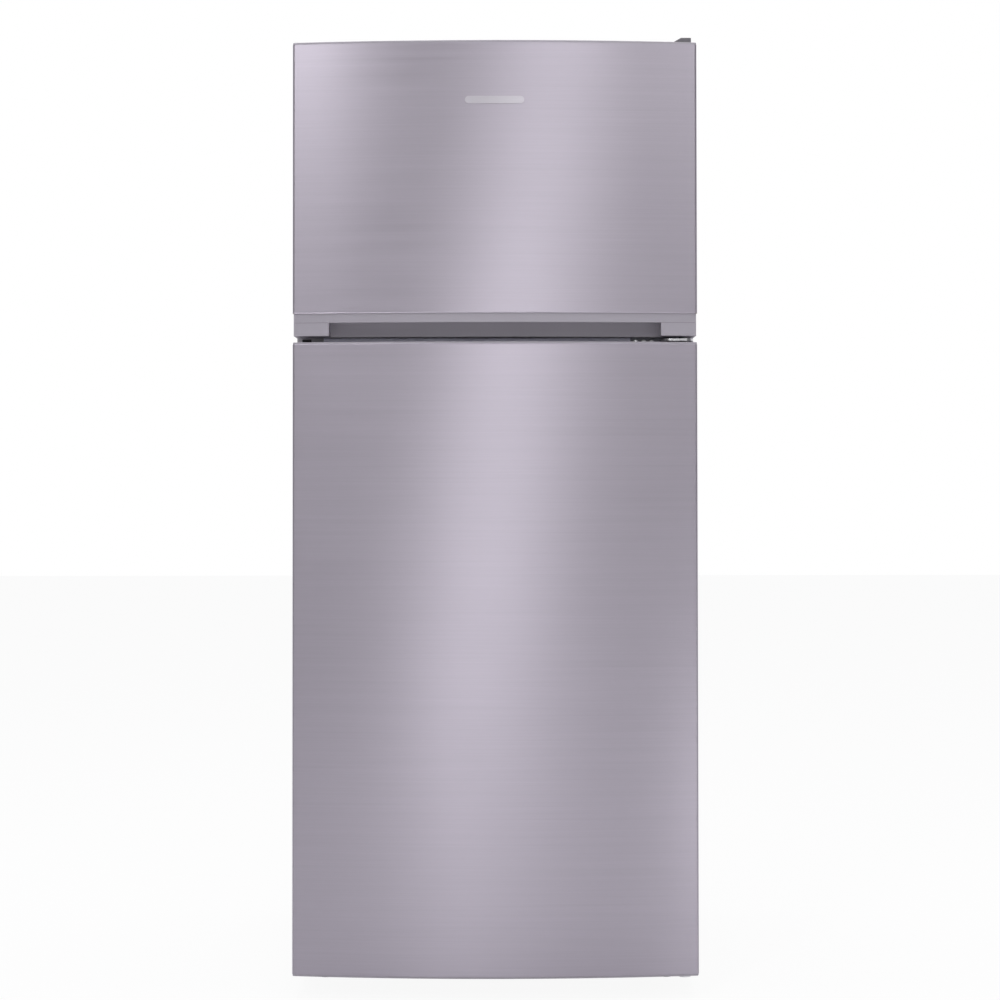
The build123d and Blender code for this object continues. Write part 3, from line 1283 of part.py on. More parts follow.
def ice_maker_frame():
    """The stand that holds the twist tray over the ice bin."""
    x = (ICE_X - ICE_W / 2, ICE_X + ICE_W / 2)
    y = (Y_ICE, Y_ICE + ICE_DEPTH)
    top = ICE_AXIS_Z + STAND_OVER
    frame = block(x, y, (Z_SHELF_TOP, top))
    inner_x = (x[0] + STAND_WALL, x[1] - STAND_WALL)
    inner_y = (y[0] + STAND_WALL, y[1] - STAND_WALL)
    frame = frame - block(inner_x, inner_y, (Z_SHELF_TOP - 1, top + 1))
    mouth = block(inner_x, (y[0] - 1, y[0] + 10), (Z_SHELF_TOP - 1, Z_SHELF_TOP + ICE_BIN_H + 3))
    frame = frame - mouth
    for at, depth in ((y[0] - 1, 5), (y[1] - 4, 5)):
        frame = frame - rod("Y", (ICE_X, at, ICE_AXIS_Z), depth, ICE_PIN_R + RUNNING_PLAY)
    return frame


def ice_tray():
    """The twist tray: two rows of cups between end trunnions, with a grip knob at the front."""
    y = (Y_ICE + TRAY_END, Y_ICE + ICE_DEPTH - TRAY_END)
    z = (ICE_AXIS_Z - ICE_TRAY_H / 2, ICE_AXIS_Z + ICE_TRAY_H / 2)
    tray = block((ICE_X - ICE_TRAY_W / 2, ICE_X + ICE_TRAY_W / 2), y, z)
    tray = fillet(tray.edges().filter_by(Axis.Z), TRAY_R)
    cup_w = (ICE_TRAY_W - 12) / 2
    pitch = (y[1] - y[0] - 4) / CUPS
    brim_half = ICE_TRAY_W / 2 - CUP_FLOOR
    brim_x = (ICE_X - brim_half, ICE_X + brim_half)
    brim = block(brim_x, (y[0] + CUP_FLOOR, y[1] - CUP_FLOOR), (z[1] - TRAY_BRIM, z[1] + 1))
    tray = tray - fillet(brim.edges().filter_by(Axis.Z), 3)
    for row in (-1, 1):
        for n in range(CUPS):
            at = (ICE_X + row * (cup_w / 2 + 1.5), y[0] + 2 + pitch * (n + 0.5), z[1] - TRAY_BRIM)
            mouth = Rectangle(cup_w - 2, pitch - 4)
            cup = extrude(mouth, -(ICE_TRAY_H - TRAY_BRIM - CUP_FLOOR), taper=CUP_TAPER)
            tray = tray - Pos(*at) * cup
    front = rod("Y", (ICE_X, Y_ICE - 4, ICE_AXIS_Z), ICE_PIN_L, ICE_PIN_R)
    back = rod("Y", (ICE_X, y[1] - 2, ICE_AXIS_Z), 8, ICE_PIN_R)
    knob = rod("Y", (ICE_X, Y_ICE - 1 - TRAY_KNOB_T, ICE_AXIS_Z), TRAY_KNOB_T, TRAY_KNOB_R)
    knob = fillet(knob.edges().group_by(Axis.Y)[0], 2)
    grip = Pos(ICE_X, Y_ICE - 12, ICE_AXIS_Z) * Box(*KNOB_GRIP)
    return tray + front + back + knob + fillet(grip.edges().filter_by(Axis.Y), 3)


def ice_bin():
    """The sliding bin under the twist tray."""
    half = ICE_W / 2 - STAND_WALL - 1.5
    y = (Y_ICE - 1, Y_ICE + ICE_DEPTH - 8)
    z = (Z_SHELF_TOP + 0.6, Z_SHELF_TOP + ICE_BIN_H)
    tub = open_box((ICE_X - half, ICE_X + half), y, z, BIN_WALL, 8)
    lip_z = (z[1] - 4 * ICE_LIP_T, z[1] - 3 * ICE_LIP_T)
    lip = block((ICE_X - ICE_LIP_HALF, ICE_X + ICE_LIP_HALF), (y[0] - ICE_LIP_REACH, y[0] + 1), lip_z)
    return tub + fillet(lip.edges().filter_by(Axis.Z).group_by(Axis.Y)[0], 8)


# ---------------------------------------------------------------- fridge compartment
def shelf_panes():
    """The tempered glass panes."""
    half = X_OPEN - SIDE_PLAY
    panes = []
    for z in SHELF_Z:
        pane_y = (Y_SHELF + TRIM_D / 2, Y_PANE_BACK - 4)
        panes.append(block((-half, half), pane_y, (z + FIT, z + FIT + GLASS_T)))
    return panes


def trim(z, y, front):
    """One moulded edge trim, grooved for the glass."""
    half = X_OPEN - SIDE_PLAY
    low = z + FIT - (TRIM_H - GLASS_T) / 2 if front else z + FIT - 2
    high = low + (TRIM_H if front else GLASS_T + 4)
    bar = block((-half, half), y, (low, high))
    face = bar.faces().sort_by(Axis.Y)[0 if front else -1]
    bar = fillet(face.edges().filter_by(Axis.X), 1.9 if not front else 4)
    return bar


def ledge_space(z, y):
    """The room that the liner's two ledges take under a shelf at z."""
    band = (z - LEDGE_DROP, z + FIT / 2)
    side = block((X_OPEN - RIB_W - 1, X_OPEN), y, band)
    return side + mirrored(side)


def shelf_trims():
    """Front and rear trims of the three shelves, clipped over the glass."""
    trims = []
    pane_y = (Y_SHELF + TRIM_D / 2, Y_PANE_BACK - 4)
    for z in SHELF_Z:
        groove = block((-X_OPEN, X_OPEN), pane_y, (z + FIT, z + FIT + GLASS_T))
        clear = ledge_space(z, pane_y)
        trims.append(trim(z, (Y_SHELF, Y_SHELF + TRIM_D), True) - groove - clear)
        trims.append(trim(z, (Y_PANE_BACK - 12, Y_PANE_BACK), False) - groove - clear)
    return trims


def crisper_cover():
    """The glass pane over the drawers, with a deep front trim that carries the humidity slide."""
    half = X_OPEN - SIDE_PLAY
    z = COVER_PANE_Z
    pane = block((-half, half), (Y_SHELF + 8, Y_PANE_BACK - 4), (z + FIT, z + FIT + GLASS_T))
    low = z - SLIDE_TRIM_H + GLASS_T + 2
    bar = block((-half, half), (Y_SHELF, Y_SHELF + TRIM_D), (low, z + GLASS_T + 2))
    bar = fillet(bar.faces().sort_by(Axis.Y)[0].edges().filter_by(Axis.X), 2)
    bar = bar - block((-SLIDE_HALF, SLIDE_HALF), (Y_SHELF - 1, Y_SHELF + 5), SLIDE_Z)
    return bar - ledge_space(z, (Y_SHELF + 8, Y_PANE_BACK)) + pane


def humidity_slider():
    """The little slide that opens the drawers' air vents."""
    x = (-SLIDE_HALF + 0.5, -SLIDE_HALF + 0.5 + SLIDE_W)
    z = (SLIDE_Z[0] + 0.3, SLIDE_Z[1] - 0.3)
    tab = block(x, (Y_SHELF + 0.8, Y_SHELF + 4.7), z)
    grip = Pos((x[0] + x[1]) / 2, Y_SHELF - 0.8, (z[0] + z[1]) / 2) * Box(4, 4, 7)
    return tab + fillet(grip.edges().filter_by(Axis.Z), 1)


def crisper(side):
    """One vegetable drawer, with a grip lip along its front; side is -1 for left and 1 for right."""
    outer = X_OPEN - CRISPER_PLAY - 3
    inner = CRISPER_PLAY
    x = (inner, outer) if side > 0 else (-outer, -inner)
    y = (Y_SHELF + 2, STEP_Y - CRISPER_PLAY - 4)
    front = Y_SHELF + 2
    tub = open_box(x, (front + FACE_T - 1, y[1]), CRISPER_Z, CRISPER_WALL, DRAWER_R)
    face = block(x, (front, front + FACE_T), (CRISPER_Z[0] + 6, CRISPER_Z[1]))
    face = fillet(face.faces().sort_by(Axis.Y)[0].edges().filter_by(Axis.Z), FACE_R)
    scoop_x = (x[0] + SCOOP_IN, x[1] - SCOOP_IN)
    low = CRISPER_Z[1] - SCOOP_DROP - SCOOP_H
    scoop = block(scoop_x, (front - 1, front + SCOOP_D), (low, low + SCOOP_H))
    scoop = scoop + block(scoop_x, (front + SCOOP_D / 2, front + SCOOP_D), (low, CRISPER_Z[1] - 4))
    return tub + face - scoop


def air_duct():
    """The cold air column on the fridge's back wall, with a pair of vents at every shelf."""
    y = (Y_INNER_BACK - DUCT_D, Y_INNER_BACK)
    z = (COVER_PANE_Z + 40, CONTROL_Z[0] + 10)
    body = block((-DUCT_HALF, DUCT_HALF), y, z)
    body = fillet(body.faces().sort_by(Axis.Y)[0].edges(), DUCT_R)
    half = DUCT_HALF - DUCT_WALL
    body = body - block((-half, half), (y[0] + DUCT_WALL, y[1] + 1), (z[0] + DUCT_WALL, z[1] - DUCT_WALL))
    for level in SHELF_Z:
        for side in (-1, 1):
            for row in range(3):
                body = body - Pos(side * VENT_SIDE, y[0], level + VENT_UP + row * VENT_PITCH) * Box(*VENT)
    return body


def control_box():
    """The housing under the fridge's ceiling for the thermostat, the lamp and the door switch."""
    y = (Y_CAB + CONTROL_SETBACK, Y_CAB + CONTROL_SETBACK + CONTROL_D)
    body = block((-CONTROL_HALF, CONTROL_HALF), y, CONTROL_Z)
    body = fillet(body.edges().filter_by(Axis.Z), CONTROL_R)
    body = fillet(body.faces().sort_by(Axis.Z)[0].edges(), CONTROL_WALL)
    half = CONTROL_HALF - CONTROL_WALL
    hollow_y = (y[0] + CONTROL_WALL, y[1] - CONTROL_WALL)
    hollow = block((-half, half), hollow_y, (CONTROL_Z[0] + CONTROL_WALL, CONTROL_Z[1] + 1))
    body = body - fillet(hollow.edges().filter_by(Axis.Z), CONTROL_R - CONTROL_WALL)
    body = body - rod("Y", (KNOB_X, y[0] - 1, KNOB_Z), 5, AXLE_R + RUNNING_PLAY)
    body = body - rod("Y", (BUTTON_X, y[0] - 1, KNOB_Z), 5, BUTTON_R + RUNNING_PLAY)
    lens = block((-LAMP_HALF, LAMP_HALF), LAMP_Y, (CONTROL_Z[0] - 1, CONTROL_Z[0] + 5))
    return body - lens


def lamp_lens():
    """The ribbed diffuser under the lamp."""
    x = (-LAMP_HALF + FIT, LAMP_HALF - FIT)
    y = (LAMP_Y[0] + FIT, LAMP_Y[1] - FIT)
    lens = block(x, y, (CONTROL_Z[0] + CONTROL_WALL - LENS_T, CONTROL_Z[0] + CONTROL_WALL))
    lens = fillet(lens.faces().sort_by(Axis.Z)[0].edges(), LENS_R)
    for n in range(-6, 7):
        at = (n * LENS_RIB_PITCH, (y[0] + y[1]) / 2, CONTROL_Z[0] - 4)
        rib = Pos(*at) * Box(LENS_RIB_W, y[1] - y[0] - 12, 1.6)
        lens = lens - rib
    return lens


def thermostat_knob():
    """The temperature dial: a ridged knob with a pointer bar, on a short spindle."""
    front = Y_CONTROL - 1 - KNOB_T
    knob = rod("Y", (KNOB_X, front, KNOB_Z), KNOB_T, KNOB_R)
    knob = fillet(knob.edges().group_by(Axis.Y)[0], 2)
    for n in range(KNOB_RIDGES):
        angle = 2 * pi * n / KNOB_RIDGES
        at = (KNOB_X + KNOB_R * cos(angle), front + 3, KNOB_Z + KNOB_R * sin(angle))
        knob = knob - rod("Y", at, KNOB_T, KNOB_RIDGE_R)
    bar_x = (KNOB_X - POINTER_HALF, KNOB_X + POINTER_HALF)
    bar = block(bar_x, (front - 1, front + 0.5), (KNOB_Z + 3, KNOB_Z + KNOB_R - 3))
    return knob + bar + rod("Y", (KNOB_X, Y_CONTROL - 2, KNOB_Z), SPINDLE_L, AXLE_R)


def light_switch_button():
    """The plunger that the closed door's liner meets."""
    start = Y_DOOR_BACK + BUTTON_GAP
    button = rod("Y", (BUTTON_X, start, KNOB_Z), Y_CONTROL + SPINDLE_L - start, BUTTON_R)
    return fillet(button.edges().group_by(Axis.Y)[0], 2.5)


# ---------------------------------------------------------------- feet and rollers
def levelling_foot(x):
    """A screw foot: a broad grooved pad on a threaded stud."""
    pad = rod("Z", (x, FOOT_Y, 0), FOOT_PAD_H, FOOT_R)
    pad = chamfer(pad.edges().group_by(Axis.Z)[0], FOOT_CHAMFER)
    pad = fillet(pad.edges().group_by(Axis.Z)[-1], FOOT_TOP_R)
    reach = FOOT_R + FOOT_GROOVE_OUT
    for n in range(FOOT_GROOVES):
        angle = 2 * pi * n / FOOT_GROOVES
        at = (x + reach * cos(angle), FOOT_Y + reach * sin(angle), -1)
        pad = pad - rod("Z", at, FOOT_PAD_H + 2, FOOT_GROOVE_R)
    stud = rod("Z", (x, FOOT_Y, FOOT_PAD_H - 1), STUD_TOP - FOOT_PAD_H + 1, STUD_R)
    return pad + chamfer(stud.edges().group_by(Axis.Z)[-1], 1)


def roller(side):
    """A plain wheel on its bracket's axle."""
    x = side * (X_SIDE - ROLLER_SIDE_IN)
    y = Y_BACK - ROLLER_BACK_IN
    wheel = rod("X", (x - ROLLER_W / 2, y, ROLLER_R), ROLLER_W, ROLLER_R)
    wheel = fillet(wheel.edges(), ROLLER_EDGE_R)
    for face in (-1, 1):
        dish = rod("X", (x + face * (ROLLER_W / 2 - 1) - 1, y, ROLLER_R), 2, ROLLER_R - 3)
        wheel = wheel - (dish - rod("X", (x - ROLLER_W, y, ROLLER_R), 2 * ROLLER_W, AXLE_R + ROLLER_HUB))
    return wheel - rod("X", (x - ROLLER_W, y, ROLLER_R), 2 * ROLLER_W, AXLE_R + RUNNING_PLAY)


# ---------------------------------------------------------------- the assembly
def pieces():
    """Every node's name and shape; a list is a group of separate solids in one node."""
    return {
        "cabinet_wrap": cabinet_wrap(),
        "rear_panel": rear_panel(),
        "insulation_foam": insulation_foam(),
        "freezer_liner": freezer_liner(),
        "fridge_liner": fridge_liner(),
        "crossbar": crossbar(),
        "base_pan": base_pan(),
        "compressor_tray": compressor_tray(),
        "compressor": compressor(),
        "compressor_mounts": compressor_mounts(),
        "relay_cover": relay_cover(),
        "drain_pan": drain_pan(),
        "cord_gland": cord_gland(),
        "condenser_coil": condenser_coil(),
        "condenser_wires": condenser_wires(),
        "condenser_clips": condenser_clips(),
        "refrigerant_lines": refrigerant_lines(),
        "top_hinge": top_hinge(),
        "top_hinge_cover": top_hinge_cover(),
        "middle_hinge": middle_hinge(),
        "bottom_hinge": bottom_hinge(),
        "cabinet_screws": cabinet_screws(),
        "hinge_hole_plugs": hinge_hole_plugs(),
        "freezer_door_skin": door_skin(FREEZER_SKIN_Z),
        "freezer_door_caps": freezer_door_caps(),
        "freezer_door_foam": freezer_door_foam(),
        "freezer_door_liner": freezer_door_liner(),
        "freezer_door_gasket": gasket(FREEZER_Z),
        "freezer_door_bins": freezer_door_bins(),
        "badge": badge(),
        "fridge_door_skin": door_skin(FRIDGE_SKIN_Z),
        "fridge_door_caps": fridge_door_caps(),
        "fridge_door_foam": fridge_door_foam(),
        "fridge_door_liner": fridge_door_liner(),
        "fridge_door_gasket": gasket(FRIDGE_Z),
        "fridge_door_bins": fridge_door_bins(),
        "dairy_lid": dairy_lid(),
        "evaporator": evaporator(),
        "evaporator_cover": evaporator_cover(),
        "fan_motor": fan_motor(),
        "fan_blade": fan_blade(),
        "freezer_shelf": freezer_shelf(),
        "ice_maker_frame": ice_maker_frame(),
        "ice_tray": ice_tray(),
        "ice_bin": ice_bin(),
        "shelf_panes": shelf_panes(),
        "shelf_trims": shelf_trims(),
        "crisper_cover": crisper_cover(),
        "humidity_slider": humidity_slider(),
        "crisper_left": crisper(-1),
        "crisper_right": crisper(1),
        "air_duct": air_duct(),
        "control_box": control_box(),
        "lamp_lens": lamp_lens(),
        "thermostat_knob": thermostat_knob(),
        "light_switch_button": light_switch_button(),
        "foot_left": levelling_foot(foot_places()[0]),
        "foot_right": levelling_foot(foot_places()[1]),
        "roller_left": roller(-1),
        "roller_right": roller(1),
    }


os.makedirs("parts", exist_ok=True)
for name, shape in pieces().items():
    solids = shape if isinstance(shape, list) else [shape]
    whole = Compound(children=[s for piece in solids for s in piece.solids()])
    export_step(whole, f"parts/{name}.step")
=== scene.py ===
"""Top freezer refrigerator: finishes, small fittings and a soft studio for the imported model.

The file is laid out as a Blender add-on and run as a script. Every length is in metres, +Z is up, and the doors
face -Y with their hinges on the +X side.
"""

import math

import bmesh
import bpy
from bpy.props import FloatProperty, FloatVectorProperty, PointerProperty
from mathutils import Euler, Matrix, Vector


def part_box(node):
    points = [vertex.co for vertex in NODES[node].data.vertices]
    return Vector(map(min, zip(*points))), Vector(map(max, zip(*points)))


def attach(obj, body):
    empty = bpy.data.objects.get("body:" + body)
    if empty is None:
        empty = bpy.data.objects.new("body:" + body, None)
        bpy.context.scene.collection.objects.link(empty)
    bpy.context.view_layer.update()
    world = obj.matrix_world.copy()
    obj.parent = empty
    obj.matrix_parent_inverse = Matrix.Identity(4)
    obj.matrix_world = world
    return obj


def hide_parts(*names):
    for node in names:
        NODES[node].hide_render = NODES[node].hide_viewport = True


bl_info = {
    "name": "Top Freezer Refrigerator",
    "version": (1, 0, 0),
    "blender": (4, 5, 0),
    "location": "3D View > Sidebar > Fridge",
    "description": "Finishes, fittings and a studio for a two-door refrigerator",
    "category": "Object",
}

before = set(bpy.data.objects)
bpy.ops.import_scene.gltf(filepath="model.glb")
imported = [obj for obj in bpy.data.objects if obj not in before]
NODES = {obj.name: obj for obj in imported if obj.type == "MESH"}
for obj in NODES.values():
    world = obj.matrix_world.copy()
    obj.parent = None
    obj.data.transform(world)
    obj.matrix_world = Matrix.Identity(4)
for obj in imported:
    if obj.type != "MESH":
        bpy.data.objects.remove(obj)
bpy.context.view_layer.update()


# ---- places read from the model
def low(node):
    """The lowest corner of a model node."""
    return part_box(node)[0]


def high(node):
    """The highest corner of a model node."""
    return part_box(node)[1]


def middle_of(node):
    """The middle of a model node's box."""
    return (low(node) + high(node)) / 2


HALF_WIDTH = high("fridge_door_skin").x
DOOR_FRONT = low("fridge_door_skin").y
CABINET_FRONT = low("cabinet_wrap").y
CABINET_BACK = high("cabinet_wrap").y
CABINET_TOP = high("cabinet_wrap").z


# ---- settings
def length(name, description, default, **limits):
    """A size in metres."""
    return FloatProperty(name=name, description=description, default=default, unit="LENGTH", precision=4, **limits)


def share(name, description, default):
    """A plain value from 0 to 1."""
    return FloatProperty(name=name, description=description, default=default, min=0.0, max=1.0, subtype="FACTOR")


def colour(name, description, default):
    """A linear colour."""
    return FloatVectorProperty(name=name, description=description, default=default, size=3, min=0.0, max=1.0,
                               subtype="COLOR")


class FRIDGE_PG_steel(bpy.types.PropertyGroup):
    """Brushed door steel."""

    tone: colour("Steel tone", "Base colour of the brushed doors", (0.452, 0.418, 0.480))
    roughness: share("Roughness", "Spread of the reflections across the grain", 0.36)
    brushing: share("Brushing", "How far the grain stretches reflections upright", 0.7)
    line_pitch: length("Line pitch", "Height of one brushed line", 0.0011, min=0.0002)
    line_length: length("Line length", "How long one brushed line runs", 0.22, min=0.01)
    bow: length("Door bow", "How far the middle of a door stands in front of its sides", 0.020)
    hem_radius: length("Hem radius", "Radius of the rolled sheet edges beside the grip", 0.0009)


class FRIDGE_PG_paint(bpy.types.PropertyGroup):
    """Painted and plated sheet."""

    cabinet: colour("Cabinet paint", "Sides and top", (0.36, 0.345, 0.375))
    crossbar: colour("Crossbar paint", "The rail between the doors and its plugs", (0.86, 0.84, 0.98))
    enamel: colour("Black enamel", "Compressor and condenser", (0.012, 0.012, 0.014))
    zinc: colour("Zinc plate", "Hinges and screws", (0.72, 0.72, 0.74))
    galvanised: colour("Galvanised sheet", "Back and base", (0.52, 0.54, 0.55))
    copper: colour("Copper", "Refrigerant lines", (0.62, 0.27, 0.14))


class FRIDGE_PG_plastic(bpy.types.PropertyGroup):
    """Moulded parts and liners."""

    caps: colour("Door caps", "End caps and grip pocket", (0.395, 0.37, 0.42))
    cover: colour("Hinge cover", "Moulded cover over the top hinge", (0.155, 0.150, 0.165))
    liner: colour("Liner", "Inner liners and door liners", (0.80, 0.82, 0.83))
    fittings: colour("White fittings", "Trims, duct, control box", (0.74, 0.76, 0.77))
    clear: colour("Clear fittings", "Bins and drawers", (0.90, 0.95, 0.98))
    glass: colour("Shelf glass", "Tempered shelves", (0.86, 0.96, 0.93))
    black: colour("Black plastic", "Feet, rollers, motor and relay cover", (0.02, 0.02, 0.022))
    seal: colour("Seals", "Soft door seals", (0.42, 0.43, 0.45))
    foam: colour("Foam", "Insulation", (0.72, 0.58, 0.30))


class FRIDGE_PG_stage(bpy.types.PropertyGroup):
    """Floor, lights and camera."""

    distance: length("Camera distance", "From the camera to the doors", 3.1113)
    camera_x: length("Camera side", "How far the camera stands to the right", 0.0186)
    camera_z: length("Camera height", "Height of the lens above the floor", 0.885)
    pitch: FloatProperty(name="Pitch", description="How far the lens looks up", default=math.radians(0.896),
                         unit="ROTATION")
    roll: FloatProperty(name="Roll", description="Turn of the camera about its own axis",
                        default=math.radians(0.062), unit="ROTATION")
    lens: FloatProperty(name="Lens", description="Focal length in millimetres", default=65.28, min=10.0)
    floor: colour("Floor", "Pale floor", (0.86, 0.86, 0.87))
    floor_glow: share("Floor glow", "How far the floor is lifted to white for the camera", 0.93)
    front_fill: FloatProperty(name="Front fill", description="Strength of the light from in front", default=0.105,
                              min=0.0)
    back_fill: FloatProperty(name="Back fill", description="Strength of the light from behind", default=0.9, min=0.0)


PROPERTY_GROUPS = {
    "fridge_steel": FRIDGE_PG_steel,
    "fridge_paint": FRIDGE_PG_paint,
    "fridge_plastic": FRIDGE_PG_plastic,
    "fridge_stage": FRIDGE_PG_stage,
}


def paint():
    """Settings of the painted and plated sheet."""
    return bpy.context.scene.fridge_paint


def plastic():
    """Settings of the moulded parts and liners."""
    return bpy.context.scene.fridge_plastic


# ---- node helpers
def add(tree, kind, values=None, **settings):
    """A node with its settings, and its inputs linked or set by name or place."""
    node = tree.nodes.new(kind)
    for key, value in settings.items():
        setattr(node, key, value)
    for key, value in (values or {}).items():
        if isinstance(value, bpy.types.NodeSocket):
            tree.links.new(value, node.inputs[key])
        else:
            node.inputs[key].default_value = value
    return node


def calc(tree, operation, a, b=0.0, c=0.0):
    """One math node's result."""
    return add(tree, "ShaderNodeMath", {0: a, 1: b, 2: c}, operation=operation).outputs[0]


def mix_colour(tree, factor, a, b):
    """A blend of two colours."""
    node = add(tree, "ShaderNodeMix", {0: factor, 6: a, 7: b}, data_type="RGBA")
    return node.outputs[2]


def spread(tree, value, out_low, out_high, in_low=0.0, in_high=1.0):
    """A value mapped to a new range and held inside it."""
    return add(tree, "ShaderNodeMapRange", {0: value, 1: in_low, 2: in_high, 3: out_low, 4: out_high}).outputs[0]


def object_place(tree):
    """Where each point lies in its own object."""
    return add(tree, "ShaderNodeTexCoord").outputs["Object"]


def noise(tree, place, scale, **more):
    """A noise texture's value."""
    values = {"Vector": place, "Scale": scale, **{key.title(): value for key, value in more.items()}}
    return add(tree, "ShaderNodeTexNoise", values).outputs[0]


def solid(colour_value):
    """Four numbers from three."""
    return (*colour_value, 1.0)


def effect(name, outputs, **inputs):
    """Makes a shader node group from a function that gives its outputs; it is built when first asked for."""

    def wrap(build):
        def find():
            group = bpy.data.node_groups.get(name)
            if group:
                return group
            group = bpy.data.node_groups.new(name, "ShaderNodeTree")
            for key, default in inputs.items():
                item = group.interface.new_socket(key.replace("_", " "), in_out="INPUT", socket_type="NodeSocketFloat")
                item.default_value = default
            for label in outputs:
                group.interface.new_socket(label, in_out="OUTPUT", socket_type="NodeSocketFloat")
            start = group.nodes.new("NodeGroupInput")
            end = group.nodes.new("NodeGroupOutput")
            for label, value in zip(outputs, build(group, start.outputs)):
                group.links.new(value, end.inputs[label])
            return group

        return find

    return wrap


def place_group(tree, group, **values):
    """A group node in a material, with its inputs given by their names with underscores for spaces."""
    return add(tree, "ShaderNodeGroup", {key.replace("_", " "): v for key, v in values.items()}, node_tree=group)


@effect("Brushed Lines", ("Lines", "Bands"), Line_Length=0.2, Line_Pitch=0.001)
def brushed_lines(tree, source):
    """Fine lines along X with slow variation, for linished sheet."""
    parts = add(tree, "ShaderNodeSeparateXYZ", {0: object_place(tree)}).outputs
    pitches = source["Line Length"], source["Line Length"], source["Line Pitch"]
    steps = [calc(tree, "DIVIDE", part, pitch) for part, pitch in zip(parts, pitches)]
    at = add(tree, "ShaderNodeCombineXYZ", dict(enumerate(steps))).outputs[0]
    fine = noise(tree, at, 1.0, detail=2.0, roughness=0.6)
    wide_at = add(tree, "ShaderNodeVectorMath", {0: at, 1: (0.6, 0.6, 0.12)}, operation="MULTIPLY").outputs[0]
    wide = noise(tree, wide_at, 1.0, detail=1.0)
    lines = calc(tree, "ADD", calc(tree, "MULTIPLY", fine, 0.65), calc(tree, "MULTIPLY", wide, 0.35))
    return lines, wide


@effect("Soft Marks", ("Marks",), Scale=3.0, Amount=1.0)
def soft_marks(tree, source):
    """Slow, uneven handling marks for roughness and tone."""
    cloud = noise(tree, object_place(tree), source["Scale"], detail=4.0, roughness=0.55, distortion=0.4)
    return (calc(tree, "MULTIPLY", spread(tree, cloud, 0.0, 1.0, 0.35, 0.68), source["Amount"]),)


@effect("Moulded Grain", ("Height", "Tone"), Scale=900.0)
def moulded_grain(tree, source):
    """The fine leathery texture of moulded plastic and embossed paint."""
    place = object_place(tree)
    pebble = add(tree, "ShaderNodeTexVoronoi", {"Vector": place, "Scale": source["Scale"]}, feature="SMOOTH_F1")
    fine = noise(tree, place, source["Scale"], detail=2.0)
    return calc(tree, "ADD", calc(tree, "MULTIPLY", pebble.outputs[0], 0.6), calc(tree, "MULTIPLY", fine, 0.4)), fine


@effect("Worn Edges", ("Edge",), Radius=0.001, Amount=0.5)
def worn_edges(tree, source):
    """A mask that is bright where a surface turns over an edge, broken up by noise."""
    rounded = add(tree, "ShaderNodeBevel", {"Radius": source["Radius"]}, samples=4)
    flat = add(tree, "ShaderNodeNewGeometry").outputs["Normal"]
    turn = add(tree, "ShaderNodeVectorMath", {0: rounded.outputs[0], 1: flat}, operation="DOT_PRODUCT")
    edge = spread(tree, turn.outputs["Value"], 1.0, 0.0, 0.80, 0.995)
    patchy = spread(tree, noise(tree, object_place(tree), 60.0, detail=3.0), 0.25, 1.0, 0.40, 0.60)
    return (calc(tree, "MULTIPLY", calc(tree, "MULTIPLY", edge, patchy), source["Amount"]),)


@effect("Settled Dust", ("Dust",), Amount=0.5)
def settled_dust(tree, source):
    """A mask of dust on faces that look up."""
    normal = add(tree, "ShaderNodeNewGeometry").outputs["Normal"]
    up = add(tree, "ShaderNodeSeparateXYZ", {0: normal}).outputs[2]
    facing = spread(tree, up, 0.0, 1.0, 0.2, 0.95)
    cloud = noise(tree, object_place(tree), 22.0, detail=5.0, roughness=0.7)
    patchy = spread(tree, cloud, 0.2, 1.0, 0.38, 0.66)
    return (calc(tree, "MULTIPLY", calc(tree, "MULTIPLY", facing, patchy), source["Amount"]),)


# ---- materials
EDGE_RADIUS = 0.0012
PLASTIC_DUST = (0.42, 0.40, 0.37)
PAINT_DUST = (0.36, 0.34, 0.31)


def made_once(build):
    """Lets a material be built the first time its name is asked for, and found after that."""

    def find(name, *values, **settings):
        return bpy.data.materials.get(name) or build(name, *values, **settings)

    return find


def principled(name, metallic=0.0, **constants):
    """A new material with its Principled shader, whose plain values are set on the shader's own sockets."""
    made = bpy.data.materials.new(name)
    made.use_nodes = True
    shader = made.node_tree.nodes["Principled BSDF"]
    shader.inputs["Metallic"].default_value = metallic
    for key, value in constants.items():
        shader.inputs[key.replace("_", " ").title().replace("Ior", "IOR")].default_value = value
    return made, made.node_tree, shader


def feed(tree, value, shader, socket):
    """Links a value or colour to the shader."""
    tree.links.new(value, shader.inputs[socket])


def finish(tree, shader, base, rough=None, height=None, relief=0.0, depth=0.0):
    """Feeds the shader its colour and, where they are given, its roughness and its relief."""
    feed(tree, base, shader, "Base Color")
    if rough:
        feed(tree, rough, shader, "Roughness")
    if height:
        node = add(tree, "ShaderNodeBump", {"Height": height, "Strength": relief, "Distance": depth})
        feed(tree, node.outputs[0], shader, "Normal")


def shade(tree, factor, tone, dark, light):
    """A blend between two strengths of one colour."""
    return mix_colour(tree, factor, solid(Vector(tone) * dark), solid(Vector(tone) * light))


def marks_at(tree, scale):
    """Handling marks at full strength."""
    return place_group(tree, soft_marks(), Scale=scale, Amount=1.0).outputs[0]


def scratches_at(tree, pitch):
    """Short fine scratches."""
    return place_group(tree, brushed_lines(), Line_Length=0.03, Line_Pitch=pitch).outputs["Lines"]


def aged(tree, base, tone, wear, lift, dust, dust_tone):
    """A colour that wears lighter on its edges and may gather dust on faces that look up."""
    edges = place_group(tree, worn_edges(), Radius=EDGE_RADIUS, Amount=wear)
    gain, offset = lift
    worn = mix_colour(tree, edges.outputs[0], base, solid([min(1.0, part * gain + offset) for part in tone]))
    if dust > 0:
        film = place_group(tree, settled_dust(), Amount=dust)
        worn = mix_colour(tree, film.outputs[0], worn, solid(dust_tone))
    return worn


